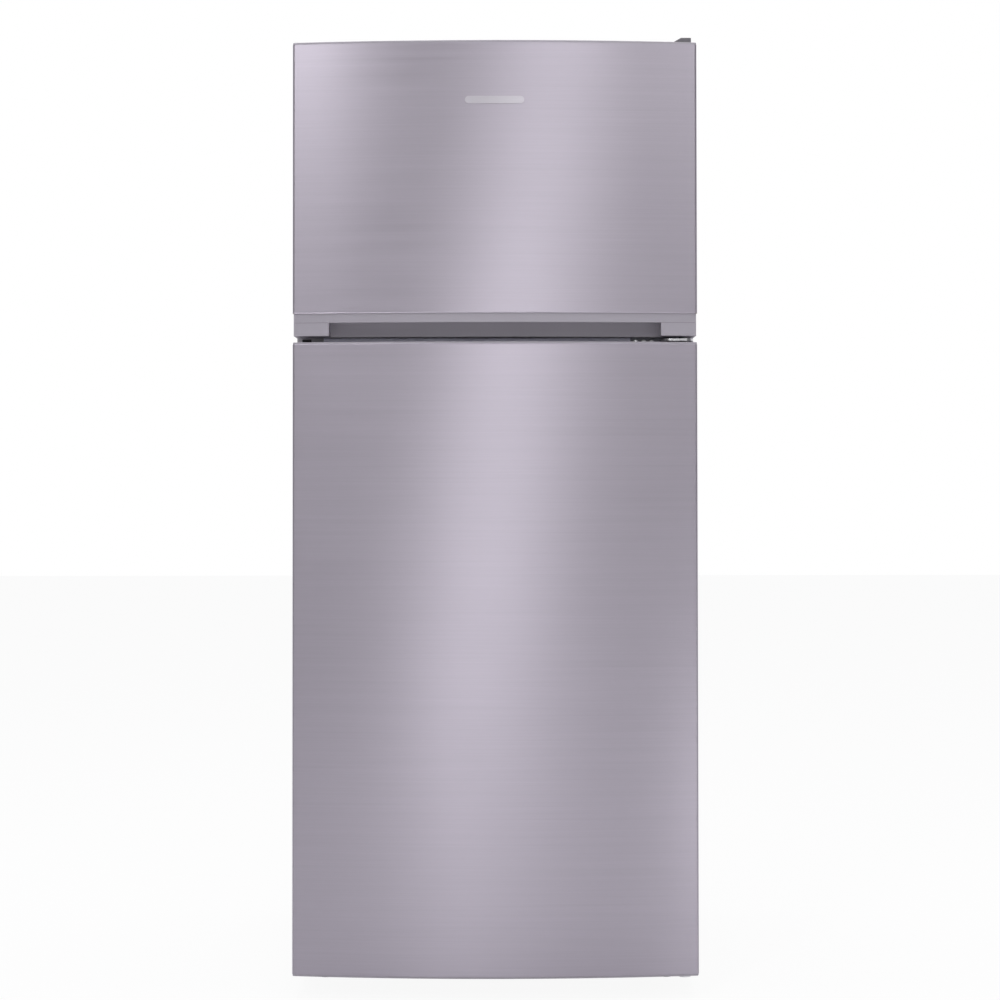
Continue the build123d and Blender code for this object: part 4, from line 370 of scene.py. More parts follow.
@made_once
def door_steel(name):
    """Lilac-grey brushed sheet with a clear film."""
    settings = bpy.context.scene.fridge_steel
    made, tree, shader = principled(name, metallic=1.0, anisotropic=settings.brushing,
                                    anisotropic_rotation=0.25, coat_weight=0.12, coat_roughness=0.3)
    tangent = add(tree, "ShaderNodeTangent", direction_type="RADIAL", axis="Z")
    feed(tree, tangent.outputs[0], shader, "Tangent")
    lines, bands = place_group(tree, brushed_lines(), Line_Length=settings.line_length,
                               Line_Pitch=settings.line_pitch).outputs
    toned = shade(tree, spread(tree, lines, 0.0, 1.0, 0.25, 0.75), settings.tone, 0.955, 1.045)
    rough = calc(tree, "ADD", spread(tree, bands, -0.02, 0.02),
                 spread(tree, marks_at(tree, 2.2), settings.roughness, settings.roughness + 0.03))
    finish(tree, shader, toned, rough, lines, 0.08, 0.0002)
    return made


def hem_steel():
    """Polished rolled edge of the door sheet."""
    tone = Vector(bpy.context.scene.fridge_steel.tone) * 1.08
    return bare_metal("Hem Steel", tone, 0.42, scratches=0.0005)


@made_once
def moulded(name, tone, roughness, grain=1100.0, relief=0.15, wear=0.25, dust=0.0):
    """Moulded plastic with grain, handled edges and an optional film of dust."""
    made, tree, shader = principled(name)
    height, fine = place_group(tree, moulded_grain(), Scale=grain).outputs
    base = shade(tree, spread(tree, fine, 0.0, 1.0, 0.3, 0.7), tone, 0.96, 1.03)
    rough = spread(tree, marks_at(tree, 9.0), roughness - 0.05, roughness + 0.06)
    finish(tree, shader, aged(tree, base, tone, wear, (1.25, 0.03), dust, PLASTIC_DUST), rough, height, relief,
           0.0003)
    return made


@made_once
def enamelled(name, tone, roughness=0.32, peel=260.0, relief=0.12, metallic=0.0, dust=0.0, chips=0.25):
    """Sprayed paint with a slight peel, a hard coat and light wear on its edges."""
    made, tree, shader = principled(name, metallic=metallic, coat_weight=0.35, coat_roughness=0.18)
    height = place_group(tree, moulded_grain(), Scale=peel).outputs["Height"]
    marks = marks_at(tree, 2.5)
    base = shade(tree, marks, tone, 0.97, 1.03)
    rough = spread(tree, marks, roughness - 0.03, roughness + 0.05)
    finish(tree, shader, aged(tree, base, tone, chips, (1.4, 0.05), dust, PAINT_DUST), rough, height, relief, 0.0004)
    return made


@made_once
def bare_metal(name, tone, roughness=0.28, scratches=0.0006, spangle=0.0, tarnish=(0.0, 0.0, 0.0), tarnished=0.0):
    """Plated or bare metal with fine scratches, an optional zinc spangle and an optional tarnish."""
    made, tree, shader = principled(name, metallic=1.0)
    lines = scratches_at(tree, scratches)
    marks = marks_at(tree, 18.0)
    base = shade(tree, lines, tone, 0.9, 1.06)
    rough = spread(tree, marks, roughness - 0.06, roughness + 0.1)
    if spangle > 0:
        crystals = add(tree, "ShaderNodeTexVoronoi", {"Vector": object_place(tree), "Scale": 90.0, "Randomness": 1.0})
        grey = add(tree, "ShaderNodeSeparateColor", {0: crystals.outputs["Color"]}).outputs[0]
        base = mix_colour(tree, calc(tree, "MULTIPLY", grey, spangle), base, solid(Vector(tone) * 0.72))
        rough = calc(tree, "ADD", rough, spread(tree, grey, -0.06, 0.1))
    if tarnished > 0:
        base = mix_colour(tree, calc(tree, "MULTIPLY", marks, tarnished), base, solid(tarnish))
    finish(tree, shader, base, rough, lines, 0.06, 0.0002)
    return made


@made_once
def clear(name, tone, ior, transmission, scale, dark, rough):
    """A clear solid with faint flow marks."""
    made, tree, shader = principled(name, ior=ior, transmission_weight=transmission)
    marks = marks_at(tree, scale)
    finish(tree, shader, shade(tree, marks, tone, dark, 1.0), spread(tree, marks, *rough))
    return made


def clear_plastic():
    """Styrene of the bins and drawers."""
    tone = plastic().clear
    return clear("Clear Styrene", tone, ior=1.49, transmission=0.92, scale=14.0, dark=0.97, rough=(0.05, 0.11))


def shelf_glass():
    """Tempered glass with a green cast."""
    tone = plastic().glass
    return clear("Tempered Glass", tone, ior=1.5, transmission=0.96, scale=6.0, dark=0.98, rough=(0.02, 0.06))


@made_once
def insulation(name):
    """Rigid foam with open cells."""
    made, tree, shader = principled(name, roughness=0.95)
    cells = add(tree, "ShaderNodeTexVoronoi", {"Vector": object_place(tree), "Scale": 420.0}).outputs[0]
    tone = plastic().foam
    finish(tree, shader, shade(tree, cells, tone, 1.0, 0.78), height=cells, relief=0.4, depth=0.001)
    return made


def hinge_plate(gap_z, axis_x, axis_y):
    """Zinc plate whose upright flange is painted like the rail and whose bushes are black."""
    flange_depth, bush_reach, plate_half = 0.004, 0.0085, 0.0023
    made, tree, shader = principled("Middle Hinge Plate")
    lines = scratches_at(tree, 0.0006)
    x, y, z = add(tree, "ShaderNodeSeparateXYZ", {0: object_place(tree)}).outputs
    flange = calc(tree, "GREATER_THAN", y, CABINET_FRONT - flange_depth)
    from_axis = calc(tree, "SQRT", calc(tree, "ADD", calc(tree, "POWER", calc(tree, "SUBTRACT", x, axis_x), 2.0),
                                        calc(tree, "POWER", calc(tree, "SUBTRACT", y, axis_y), 2.0)))
    near = calc(tree, "LESS_THAN", from_axis, bush_reach)
    off_plate = calc(tree, "GREATER_THAN", calc(tree, "ABSOLUTE", calc(tree, "SUBTRACT", z, gap_z)), plate_half)
    bush = calc(tree, "MULTIPLY", near, off_plate)
    zinc = shade(tree, lines, paint().zinc, 0.92, 1.08)
    painted = mix_colour(tree, flange, zinc, solid(Vector(paint().crossbar) * 0.55))
    feed(tree, calc(tree, "SUBTRACT", 1.0, calc(tree, "MAXIMUM", flange, bush)), shader, "Metallic")
    finish(tree, shader, mix_colour(tree, bush, painted, (0.02, 0.02, 0.022, 1.0)),
           spread(tree, marks_at(tree, 18.0), 0.24, 0.36), lines, 0.06, 0.0002)
    return made


@made_once
def seal_rubber(name):
    """Soft extruded vinyl with fine draw lines."""
    made, tree, shader = principled(name, sheen_weight=0.15)
    depth = add(tree, "ShaderNodeSeparateXYZ", {0: object_place(tree)}).outputs[1]
    draw_lines = calc(tree, "SINE", calc(tree, "MULTIPLY", depth, 5200.0))
    marks = marks_at(tree, 12.0)
    finish(tree, shader, shade(tree, marks, plastic().seal, 0.94, 1.05),
           spread(tree, marks, 0.55, 0.7), draw_lines, 0.15, 0.0002)
    return made


@made_once
def frosted_lens(name):
    """Frosted diffuser over the lamp."""
    made, tree, shader = principled(name, ior=1.49, transmission_weight=0.7)
    height, fine = place_group(tree, moulded_grain(), Scale=1500.0).outputs
    finish(tree, shader, mix_colour(tree, fine, (0.90, 0.92, 0.93, 1.0), (0.97, 0.97, 0.97, 1.0)),
           spread(tree, fine, 0.35, 0.5), height, 0.3, 0.0003)
    return made


# ---- model helpers
def dress(made, *names):
    """Gives model nodes a material."""
    for name in names:
        node = NODES[name]
        node.data.materials.clear()
        node.data.materials.append(made)
    return names


def piece(name, mesh, made, body):
    """Puts a new piece in the scene, on the body that it moves with."""
    thing = bpy.data.objects.new(name, mesh)
    bpy.context.scene.collection.objects.link(thing)
    mesh.materials.append(made)
    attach(thing, body)
    return thing


def mesh_from(name, build, smooth_angle=35.0):
    """A mesh made by a bmesh function, smooth except over its sharp edges."""
    mesh = bpy.data.meshes.new(name)
    work = bmesh.new()
    build(work)
    bmesh.ops.recalc_face_normals(work, faces=work.faces)
    work.to_mesh(mesh)
    work.free()
    mesh.shade_smooth()
    mesh.set_sharp_from_angle(angle=math.radians(smooth_angle))
    return mesh


def built(name, build, made, body, slot_name, **mesh_settings):
    """A piece whose mesh is made by a bmesh function."""
    return piece(name, mesh_from(name, build, **mesh_settings), made, body)


def boxes_of(node):
    """The corners of each separate solid of a node, in order of height."""
    work = bmesh.new()
    work.from_mesh(NODES[node].data)
    bmesh.ops.remove_doubles(work, verts=work.verts, dist=0.000001)
    waiting = set(work.verts)
    boxes = []
    while waiting:
        group = []
        edge_of_group = [waiting.pop()]
        while edge_of_group:
            vert = edge_of_group.pop()
            group.append(vert.co.copy())
            for edge in vert.link_edges:
                other = edge.other_vert(vert)
                if other in waiting:
                    waiting.discard(other)
                    edge_of_group.append(other)
        boxes.append((Vector([min(p[i] for p in group) for i in range(3)]),
                      Vector([max(p[i] for p in group) for i in range(3)])))
    work.free()
    return sorted(boxes, key=lambda box: (round(box[0].z, 4), round(box[0].x, 4)))


def bevelled_cube(work, matrix, **bevel):
    """Adds a cube placed and stretched by a matrix, with all its edges bevelled."""
    made = bmesh.ops.create_cube(work, size=1.0, matrix=matrix)
    edges = list({edge for vert in made["verts"] for edge in vert.link_edges})
    bmesh.ops.bevel(work, geom=edges, affect="EDGES", **bevel)


def rounded_box(work, lo, hi, radius, segments=3):
    """Adds a box between two corners with all its edges rounded."""
    lo, hi = Vector(lo), Vector(hi)
    size = hi - lo
    matrix = Matrix.Translation((lo + hi) / 2) @ Matrix.Diagonal((*size, 1.0))
    bevelled_cube(work, matrix, offset=radius, segments=segments, profile=0.5, clamp_overlap=True)


def circle(radius, count):
    """Places round a circle, as pairs."""
    for step in range(count):
        angle = 2 * math.pi * step / count
        yield radius * math.cos(angle), radius * math.sin(angle)


def join_rings(work, first, second):
    """Fills the band between two rings, of which one may be a single point."""
    sides = max(len(first), len(second))
    for side in range(sides):
        following = (side + 1) % sides
        if len(first) == 1:
            work.faces.new((first[0], second[side], second[following]))
        elif len(second) == 1:
            work.faces.new((first[side], first[following], second[0]))
        else:
            work.faces.new((first[side], first[following], second[following], second[side]))


def tube(work, points, radius, sides=10):
    """Adds a closed round tube that follows points."""
    points, rings = list(points), []
    for index, point in enumerate(points):
        before = points[max(index - 1, 0)]
        after = points[min(index + 1, len(points) - 1)]
        turn = (after - before).to_track_quat("Z", "Y")
        rings.append([work.verts.new(point + turn @ Vector((*at, 0.0))) for at in circle(radius, sides)])
    for first, second in zip(rings, rings[1:]):
        join_rings(work, first, second)
    work.faces.new(list(reversed(rings[0])))
    work.faces.new(rings[-1])


def turned(work, profile, matrix, sides=32):
    """Adds a solid turned about Z from (radius, height) steps that start and end on the axis, then moved."""
    loops = []
    for radius, height in profile:
        places = circle(radius, sides) if radius > 0 else [(0.0, 0.0)]
        loops.append([work.verts.new(matrix @ Vector((*at, height))) for at in places])
    for first, second in zip(loops, loops[1:]):
        join_rings(work, first, second)


def bow_y(x, inset=0.0):
    """Where a face parallel to a door's bowed front stands, inset behind it, at x."""
    bow = bpy.context.scene.fridge_steel.bow
    radius = (HALF_WIDTH**2 + bow**2) / (2 * bow)
    return DOOR_FRONT + radius - math.sqrt((radius - inset) ** 2 - x * x)


def bow_line(start, end, inset, runs):
    """Points along the bowed front between two places given by x and z."""
    (x0, z0), (x1, z1) = start, end
    for step in range(runs + 1):
        x = x0 + (x1 - x0) * step / runs
        yield Vector((x, bow_y(x, inset), z0 + (z1 - z0) * step / runs))


# ---- operators
HEM_END = 0.0035  # from the end of a hem to the side of its door
HEM_SINK = 0.55  # how far a hem stands behind the face of the sheet, as a share of its radius
GRIP_HALF = 0.2875  # from the middle of the grip to its end blocks
WIDE_BIN = 0.3  # a door bin is wider than this, and its small parts aren't
SKIN_PLAY = 0.0001  # between a small fitting and the face behind it


def black_plastic():
    """Moulded black of the small technical parts."""
    return moulded("Black Plastic", plastic().black, 0.5)


def zinc_plate():
    """Bright plate of the hinges and screws."""
    return bare_metal("Zinc Plate", paint().zinc, 0.27)


class FRIDGE_OT_doors(bpy.types.Operator):
    """Brushed skins, moulded caps and the foam of both doors"""

    bl_idname = "fridge.doors"
    bl_label = "Doors"

    def execute(self, context):
        dress(door_steel("Brushed Door Steel"), "freezer_door_skin", "fridge_door_skin")
        caps = moulded("Door Cap Plastic", plastic().caps, 0.42, grain=1400.0, relief=0.12, wear=0.15)
        dress(caps, "freezer_door_caps", "fridge_door_caps")
        dress(insulation("Rigid Foam"), "freezer_door_foam", "fridge_door_foam", "insulation_foam")
        return {"FINISHED"}


class FRIDGE_OT_hems(bpy.types.Operator):
    """Rolled hems along the sheet edges that face the gap, and the joints beside the grip"""

    bl_idname = "fridge.hems"
    bl_label = "Door Hems"

    def execute(self, context):
        radius = context.scene.fridge_steel.hem_radius
        for name, body, z in (("freezer_hem", "freezer_door", low("freezer_door_skin").z),
                              ("fridge_hem", "fridge_door", high("fridge_door_skin").z)):
            built(name, lambda work, z=z: self.build_hem(work, z, radius), hem_steel(), body, "door_steel")
        line = moulded("Parting Line", Vector(plastic().caps) * 0.55, 0.5, wear=0.0)
        built("cap_parting_lines", self.build_parting, line, "freezer_door", "grey_plastic")
        return {"FINISHED"}

    def build_hem(self, work, z, radius):
        """A thin roll that stops just inside both sides of the door."""
        reach = HALF_WIDTH - HEM_END
        tube(work, bow_line((-reach, z), (reach, z), radius * HEM_SINK, 48), radius)

    def build_parting(self, work):
        """The thin joint where the grip lip meets the end blocks of the lower cap."""
        lip_joint, face_inset, radius = 0.0226, 0.00185, 0.0004
        z = low("freezer_door_caps").z + lip_joint
        for side in (-1, 1):
            ends = (side * GRIP_HALF, z), (side * (HALF_WIDTH - HEM_END), z)
            tube(work, bow_line(*ends, face_inset, 12), radius, sides=6)


class FRIDGE_OT_nameplate(bpy.types.Operator):
    """The satin blank nameplate with its fine raised border"""

    bl_idname = "fridge.nameplate"
    bl_label = "Nameplate"

    def execute(self, context):
        plate = bare_metal("Nameplate Satin", (0.60, 0.575, 0.625), roughness=0.36, scratches=0.002)
        dress(plate, "badge")
        border = bare_metal("Nameplate Border", (0.56, 0.54, 0.585), 0.3)
        built("nameplate_border", self.build, border, "freezer_door", "nameplate")
        return {"FINISHED"}

    def build(self, work):
        """A wire along the plate's outline, which has straight sides and round ends."""
        inset, wire, stand = 0.0009, 0.00014, -0.00105
        steps, runs_of_side = 12, 8
        half = (high("badge") - low("badge")) / 2
        radius = half.z - inset
        middle = middle_of("badge").z
        straight = half.x - inset - radius
        outline = []
        for end, start_angle in ((1, -90), (-1, 90)):
            for step in range(steps + 1):
                angle = math.radians(start_angle + 180 / steps * step)
                outline.append((end * straight + radius * math.cos(angle), middle + radius * math.sin(angle)))
        for start, end in zip(outline, (*outline[1:], outline[0])):
            runs = runs_of_side if abs(end[0] - start[0]) > radius else 1
            tube(work, bow_line(start, end, stand, runs), wire, sides=6)


class FRIDGE_OT_seals(bpy.types.Operator):
    """Soft vinyl seals round the inner sides of both doors"""

    bl_idname = "fridge.seals"
    bl_label = "Door Seals"

    def execute(self, context):
        dress(seal_rubber("Seal Vinyl"), "freezer_door_gasket", "fridge_door_gasket")
        return {"FINISHED"}


class FRIDGE_OT_cabinet(bpy.types.Operator):
    """Painted wrap, plated back and base, and the rail between the doors"""

    bl_idname = "fridge.cabinet"
    bl_label = "Cabinet"

    def execute(self, context):
        dress(enamelled("Cabinet Paint", paint().cabinet, 0.38, peel=420.0, relief=0.2, dust=0.25), "cabinet_wrap")
        dress(enamelled("Rail Paint", paint().crossbar, 0.5, peel=500.0, metallic=0.85), "crossbar")
        plated = bare_metal("Galvanised Sheet", paint().galvanised, 0.42, spangle=0.6,
                            tarnish=(0.30, 0.30, 0.29), tarnished=0.3)
        dress(plated, "rear_panel", "base_pan", "compressor_tray")
        return {"FINISHED"}


class FRIDGE_OT_hinges(bpy.types.Operator):
    """Hinges, their cover, screws and the plugs of the spare holes"""

    bl_idname = "fridge.hinges"
    bl_label = "Hinges"

    def execute(self, context):
        dress(zinc_plate(), "top_hinge", "bottom_hinge", "cabinet_screws")
        corner = low("top_hinge")
        half = (high("top_hinge").x - corner.x) / 2
        gap_z = middle_of("middle_hinge").z
        dress(hinge_plate(gap_z, corner.x + half, corner.y + half), "middle_hinge")
        dress(moulded("Hinge Cover Plastic", plastic().cover, 0.5, wear=0.2, dust=0.2), "top_hinge_cover")
        plugs = enamelled("Plug Plastic", paint().crossbar, 0.5, peel=900.0, metallic=0.85, chips=0.0)
        dress(plugs, "hinge_hole_plugs")
        built("spare_hinge_cap", lambda work: self.build_cap(work, gap_z), black_plastic(), "cabinet",
              "black_plastic")
        return {"FINISHED"}

    def build_cap(self, work, gap_z):
        """A dished oblong cap over the spare hinge mount, on the cabinet's front beside the gap."""
        middle = Vector((-HALF_WIDTH + 0.0175, CABINET_FRONT, gap_z))
        for half_x, half_z, front, back, radius in ((0.008, 0.0048, 0.0016, 0.00005, 0.0007),
                                                    (0.005, 0.0022, 0.0026, 0.001, 0.0006)):
            rounded_box(work, middle - Vector((half_x, front, half_z)), middle + Vector((half_x, -back, half_z)),
                        radius)


class FRIDGE_OT_liners(bpy.types.Operator):
    """Vacuum-formed liners of the cabinet and the doors, and the freezer's rear panel"""

    bl_idname = "fridge.liners"
    bl_label = "Liners"

    def execute(self, context):
        liner = moulded("Liner White", plastic().liner, 0.34, grain=700.0, relief=0.08, wear=0.0)
        dress(liner, "freezer_liner", "fridge_liner", "freezer_door_liner", "fridge_door_liner", "evaporator_cover")
        return {"FINISHED"}


class FRIDGE_OT_shelves(bpy.types.Operator):
    """Glass shelves with moulded trims, the drawers' glass cover and the freezer shelf"""

    bl_idname = "fridge.shelves"
    bl_label = "Shelves"

    def execute(self, context):
        dress(shelf_glass(), "shelf_panes")
        trim = moulded("Shelf Trim White", plastic().fittings, 0.3, grain=1200.0, relief=0.06, wear=0.1)
        dress(trim, "shelf_trims", "freezer_shelf")
        self.build_cover(trim)
        self.build_strips()
        return {"FINISHED"}

    def build_cover(self, trim):
        """The drawers' cover as its two real parts: a glass pane in a deep moulded trim."""
        lo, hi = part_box("crisper_cover")
        slide_lo, slide_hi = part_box("humidity_slider")
        pane_top = hi.z - 0.0018
        pane_low = pane_top - 0.004
        pane_front = lo.y + 0.008
        window = (slide_lo.x - 0.0006, slide_lo.x + 0.0594)
        slide_play = 0.0004
        trim_back = lo.y + 0.016
        channel = lo.y + 0.0052
        wall = channel + 0.001

        def pane(work):
            rounded_box(work, (lo.x, pane_front, pane_low), (hi.x, hi.y, pane_top), 0.0006)

        def front(work):
            rounded_box(work, (lo.x, channel, lo.z), (hi.x, trim_back, pane_low - SKIN_PLAY), 0.0008)
            rounded_box(work, (lo.x, lo.y, slide_hi.z + slide_play), (hi.x, pane_front - SKIN_PLAY, hi.z), 0.0015)
            rounded_box(work, (lo.x, lo.y, pane_top + SKIN_PLAY), (hi.x, trim_back, hi.z), 0.0008)
            rounded_box(work, lo, (hi.x, wall, slide_lo.z - slide_play), 0.0012)
            for x0, x1 in ((lo.x, window[0]), (window[1], hi.x)):
                rounded_box(work, (x0, lo.y, lo.z), (x1, wall, hi.z), 0.0012)

        for part in (built("crisper_cover_glass", pane, shelf_glass(), "cabinet", "shelf_glass"),
                     built("crisper_cover_trim", front, trim, "cabinet", "white_plastic")):
            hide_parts("crisper_cover")

    def build_strips(self):
        """A narrow satin strip along each shelf's front trim."""
        satin = bare_metal("Satin Strip", (0.62, 0.62, 0.64), 0.34)
        levels = {}
        for lo, hi in boxes_of("shelf_trims"):
            if lo.y < low("shelf_trims").y + 0.002:
                levels[round(lo.z, 3)] = (lo, hi)
        margin, half, front, back = 0.004, 0.002, 0.0005, 0.001
        for number, (lo, hi) in enumerate(levels.values(), 1):
            middle = (lo.z + hi.z) / 2

            def build(work, lo=lo, hi=hi, middle=middle):
                rounded_box(work, (lo.x + margin, lo.y - front, middle - half),
                            (hi.x - margin, lo.y + back, middle + half), 0.0004)

            built(f"shelf_strip_{number}", build, satin, "cabinet", "white_plastic")


class FRIDGE_OT_bins(bpy.types.Operator):
    """Clear door bins with their moulded rails, and the dairy flap"""

    bl_idname = "fridge.bins"
    bl_label = "Door Bins"

    def execute(self, context):
        dress(clear_plastic(), "freezer_door_bins", "fridge_door_bins", "dairy_lid")
        trim = moulded("Shelf Trim White", plastic().fittings, 0.3)
        for node, body in (("freezer_door_bins", "freezer_door"), ("fridge_door_bins", "fridge_door")):
            for number, (lo, hi) in enumerate(boxes_of(node), 1):
                if hi.x - lo.x < WIDE_BIN:
                    continue
                built(f"{body}_bin_rail_{number}", lambda work, lo=lo, hi=hi: self.build_rail(work, lo, hi), trim,
                      body, "white_plastic")
        return {"FINISHED"}

    def build_rail(self, work, lo, hi):
        """A rail snapped round the front of a bin, a little above its floor."""
        margin, gap, outer, height = 0.016, 0.00005, 0.0011, 0.012
        z0 = lo.z + 0.030
        rounded_box(work, (lo.x + margin, hi.y + gap, z0), (hi.x - margin, hi.y + outer, z0 + height), 0.0005)


class FRIDGE_OT_egg_tray(bpy.types.Operator):
    """An egg tray that sits in the third door bin"""

    bl_idname = "fridge.egg_tray"
    bl_label = "Egg Tray"

    def execute(self, context):
        bins = [box for box in boxes_of("fridge_door_bins") if box[1].x - box[0].x > WIDE_BIN]
        made = moulded("Egg Tray White", plastic().fittings, 0.35)
        thing = built("egg_tray", lambda work: self.build(work, *bins[2]), made, "fridge_door", "white_plastic",
                      smooth_angle=60.0)
        wall = thing.modifiers.new("Wall", "SOLIDIFY")
        wall.thickness = 0.0015
        wall.offset = 0.0
        return {"FINISHED"}

    def build(self, work, lo, hi):
        """A sheet with two rows of round dips and a short skirt."""
        rows, across = 2, 5
        cup, cup_radius, cup_depth, fullness = 0.044, 0.0195, 0.026, 2.4
        margin, skirt_depth, skirt_width = 0.006, 0.010, 0.002
        steps_x, steps_y = 110, 44
        depth = hi.y - lo.y - 2 * margin
        width = cup * across + 2 * margin
        pitch = depth / rows
        x0, y0, top = lo.x + 0.022, lo.y + margin, lo.z + 0.044
        grid = []
        for row in range(steps_y + 1):
            line = []
            for column in range(steps_x + 1):
                x = width * column / steps_x
                y = depth * row / steps_y
                cup_x = (min(max(int((x - margin) / cup), 0), across - 1) + 0.5) * cup + margin
                cup_y = (min(int(y / pitch), rows - 1) + 0.5) * pitch
                reach = math.hypot(x - cup_x, y - cup_y) / cup_radius
                dip = cup_depth * (1 - min(reach, 1.0) ** fullness)
                border = min(x, width - x, y, depth - y)
                skirt = skirt_depth * max(0.0, 1 - border / skirt_width)
                line.append(work.verts.new((x0 + x, y0 + y, top - dip - skirt)))
            grid.append(line)
        for first, second in zip(grid, grid[1:]):
            for column in range(steps_x):
                work.faces.new((first[column], first[column + 1], second[column + 1], second[column]))


class FRIDGE_OT_drawers(bpy.types.Operator):
    """Clear vegetable drawers and the slide that sets their air"""

    bl_idname = "fridge.drawers"
    bl_label = "Drawers"

    def execute(self, context):
        dress(clear_plastic(), "crisper_left", "crisper_right")
        dress(moulded("Slide Grey", (0.28, 0.29, 0.31), 0.4), "humidity_slider")
        return {"FINISHED"}


class FRIDGE_OT_ice_maker(bpy.types.Operator):
    """The twist tray, its stand and the ice bin"""

    bl_idname = "fridge.ice_maker"
    bl_label = "Ice Maker"

    def execute(self, context):
        dress(moulded("Ice Stand White", plastic().fittings, 0.36), "ice_maker_frame")
        dress(moulded("Ice Tray Blue", (0.55, 0.66, 0.74), 0.3, grain=1300.0), "ice_tray")
        dress(clear_plastic(), "ice_bin")
        return {"FINISHED"}


class FRIDGE_OT_controls(bpy.types.Operator):
    """Control box, lamp lens, switch and the dial with its scale"""

    bl_idname = "fridge.controls"
    bl_label = "Controls"

    def execute(self, context):
        dress(moulded("Control White", plastic().fittings, 0.4, grain=900.0), "control_box", "air_duct")
        dress(frosted_lens("Frosted Lens"), "lamp_lens")
        dress(moulded("Knob Grey", (0.62, 0.63, 0.65), 0.32, wear=0.3), "thermostat_knob")
        dress(moulded("Switch White", plastic().fittings, 0.28), "light_switch_button")
        ink = moulded("Scale Ink", (0.05, 0.07, 0.12), 0.5, wear=0.0)
        built("dial_scale", self.build_ticks, ink, "cabinet", "grey_plastic")
        piece("dial_numbers", self.numbers(), ink, "cabinet")
        return {"FINISHED"}

    def spots(self, clearance):
        """Seven places round the dial on the face it turns on, with their angles, at a clearance outside it."""
        middle = middle_of("thermostat_knob")
        radius = high("thermostat_knob").x - middle.x + clearance
        for number in range(1, 8):
            angle = math.radians(270 - 45 * number)
            place = (middle.x + radius * math.cos(angle), low("control_box").y, middle.z + radius * math.sin(angle))
            yield number, Vector(place), angle

    def build_ticks(self, work):
        """Short bevelled bars that point at the middle of the dial."""
        size = Matrix.Diagonal((0.0018, 0.0003, 0.0006, 1.0))
        for _, place, angle in self.spots(0.0006):
            spot = Matrix.Translation(place) @ Matrix.Rotation(-angle, 4, "Y")
            bevelled_cube(work, spot @ size, offset=0.0001, segments=1)

    def numbers(self):
        """Plain figures one to seven round the dial, as one mesh."""
        joined = bmesh.new()
        thickness = 0.0001
        for figure, place, _ in self.spots(0.0030):
            text = bpy.data.curves.new("Figure", "FONT")
            text.body = str(figure)
            text.size = 0.0034
            text.extrude = thickness
            text.align_x = "CENTER"
            text.align_y = "CENTER"
            holder = bpy.data.objects.new("Figure", text)
            mesh = bpy.data.meshes.new_from_object(holder)
            place.y -= thickness
            mesh.transform(Matrix.Translation(place) @ Matrix.Rotation(math.pi / 2, 4, "X"))
            joined.from_mesh(mesh)
            bpy.data.meshes.remove(mesh)
            bpy.data.objects.remove(holder)
            bpy.data.curves.remove(text)
        made = bpy.data.meshes.new("dial_numbers")
        joined.to_mesh(made)
        joined.free()
        return made


class FRIDGE_OT_cooling(bpy.types.Operator):
    """Evaporator, fan, condenser and the copper lines"""

    bl_idname = "fridge.cooling"
    bl_label = "Cooling Circuit"

    def execute(self, context):
        dress(bare_metal("Evaporator Metal", (0.66, 0.68, 0.70), 0.35, tarnish=(0.8, 0.84, 0.88), tarnished=0.4),
              "evaporator")
        dress(black_plastic(), "fan_motor", "condenser_clips")
        dress(moulded("Fan White", plastic().fittings, 0.34), "fan_blade")
        black = enamelled("Black Enamel", paint().enamel, 0.3, peel=320.0, dust=0.5)
        dress(black, "condenser_coil", "condenser_wires")
        dress(bare_metal("Copper Tube", paint().copper, 0.26, scratches=0.0008, tarnish=(0.10, 0.05, 0.03),
                         tarnished=0.55), "refrigerant_lines")
        return {"FINISHED"}


class FRIDGE_OT_machine_bay(bpy.types.Operator):
    """Compressor, its mounts and cover, the drip pan, the lead's bush and small bay fittings"""

    bl_idname = "fridge.machine_bay"
    bl_label = "Machine Bay"

    def execute(self, context):
        pot = enamelled("Compressor Enamel", paint().enamel, 0.26, peel=200.0, dust=0.6)
        dress(pot, "compressor")
        rubber = moulded("Black Rubber", (0.03, 0.03, 0.03), 0.75, grain=700.0, relief=0.2, dust=0.3)
        dress(rubber, "compressor_mounts", "cord_gland")
        dress(black_plastic(), "relay_cover")
        dress(moulded("Pan Grey", (0.30, 0.31, 0.32), 0.5, dust=0.6), "drain_pan")
        built("compressor_weld", self.build_seam, pot, "cabinet", "black_enamel")
        built("relay_cover_ribs", self.build_ribs, black_plastic(), "cabinet", "black_plastic")
        return {"FINISHED"}

    def build_seam(self, work):
        """The weld bead round the middle of the compressor's pot, whose outline the pan above it shares."""
        lo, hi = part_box("compressor")
        centre = middle_of("drain_pan")
        half = (high("drain_pan") - low("drain_pan")) / 2
        clearance, count = 0.0008, 120
        z = lo.z + (hi.z - lo.z) * 0.45 + 0.0046
        points = [Vector((centre.x + (half.x + clearance) * x, centre.y + (half.y + clearance) * y, z))
                  for x, y in circle(1.0, count)]
        tube(work, [*points, points[0]], 0.0016, sides=8)

    def build_ribs(self, work):
        """Upright ribs moulded on the starter cover."""
        lo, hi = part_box("relay_cover")
        half, inner, outer = 0.0012, 0.0004, 0.0012
        for step in range(5):
            y = lo.y + (hi.y - lo.y) * (0.22 + 0.14 * step)
            rounded_box(work, (hi.x - inner, y - half, lo.z + 0.012), (hi.x + outer, y + half, hi.z - 0.010), 0.0005)


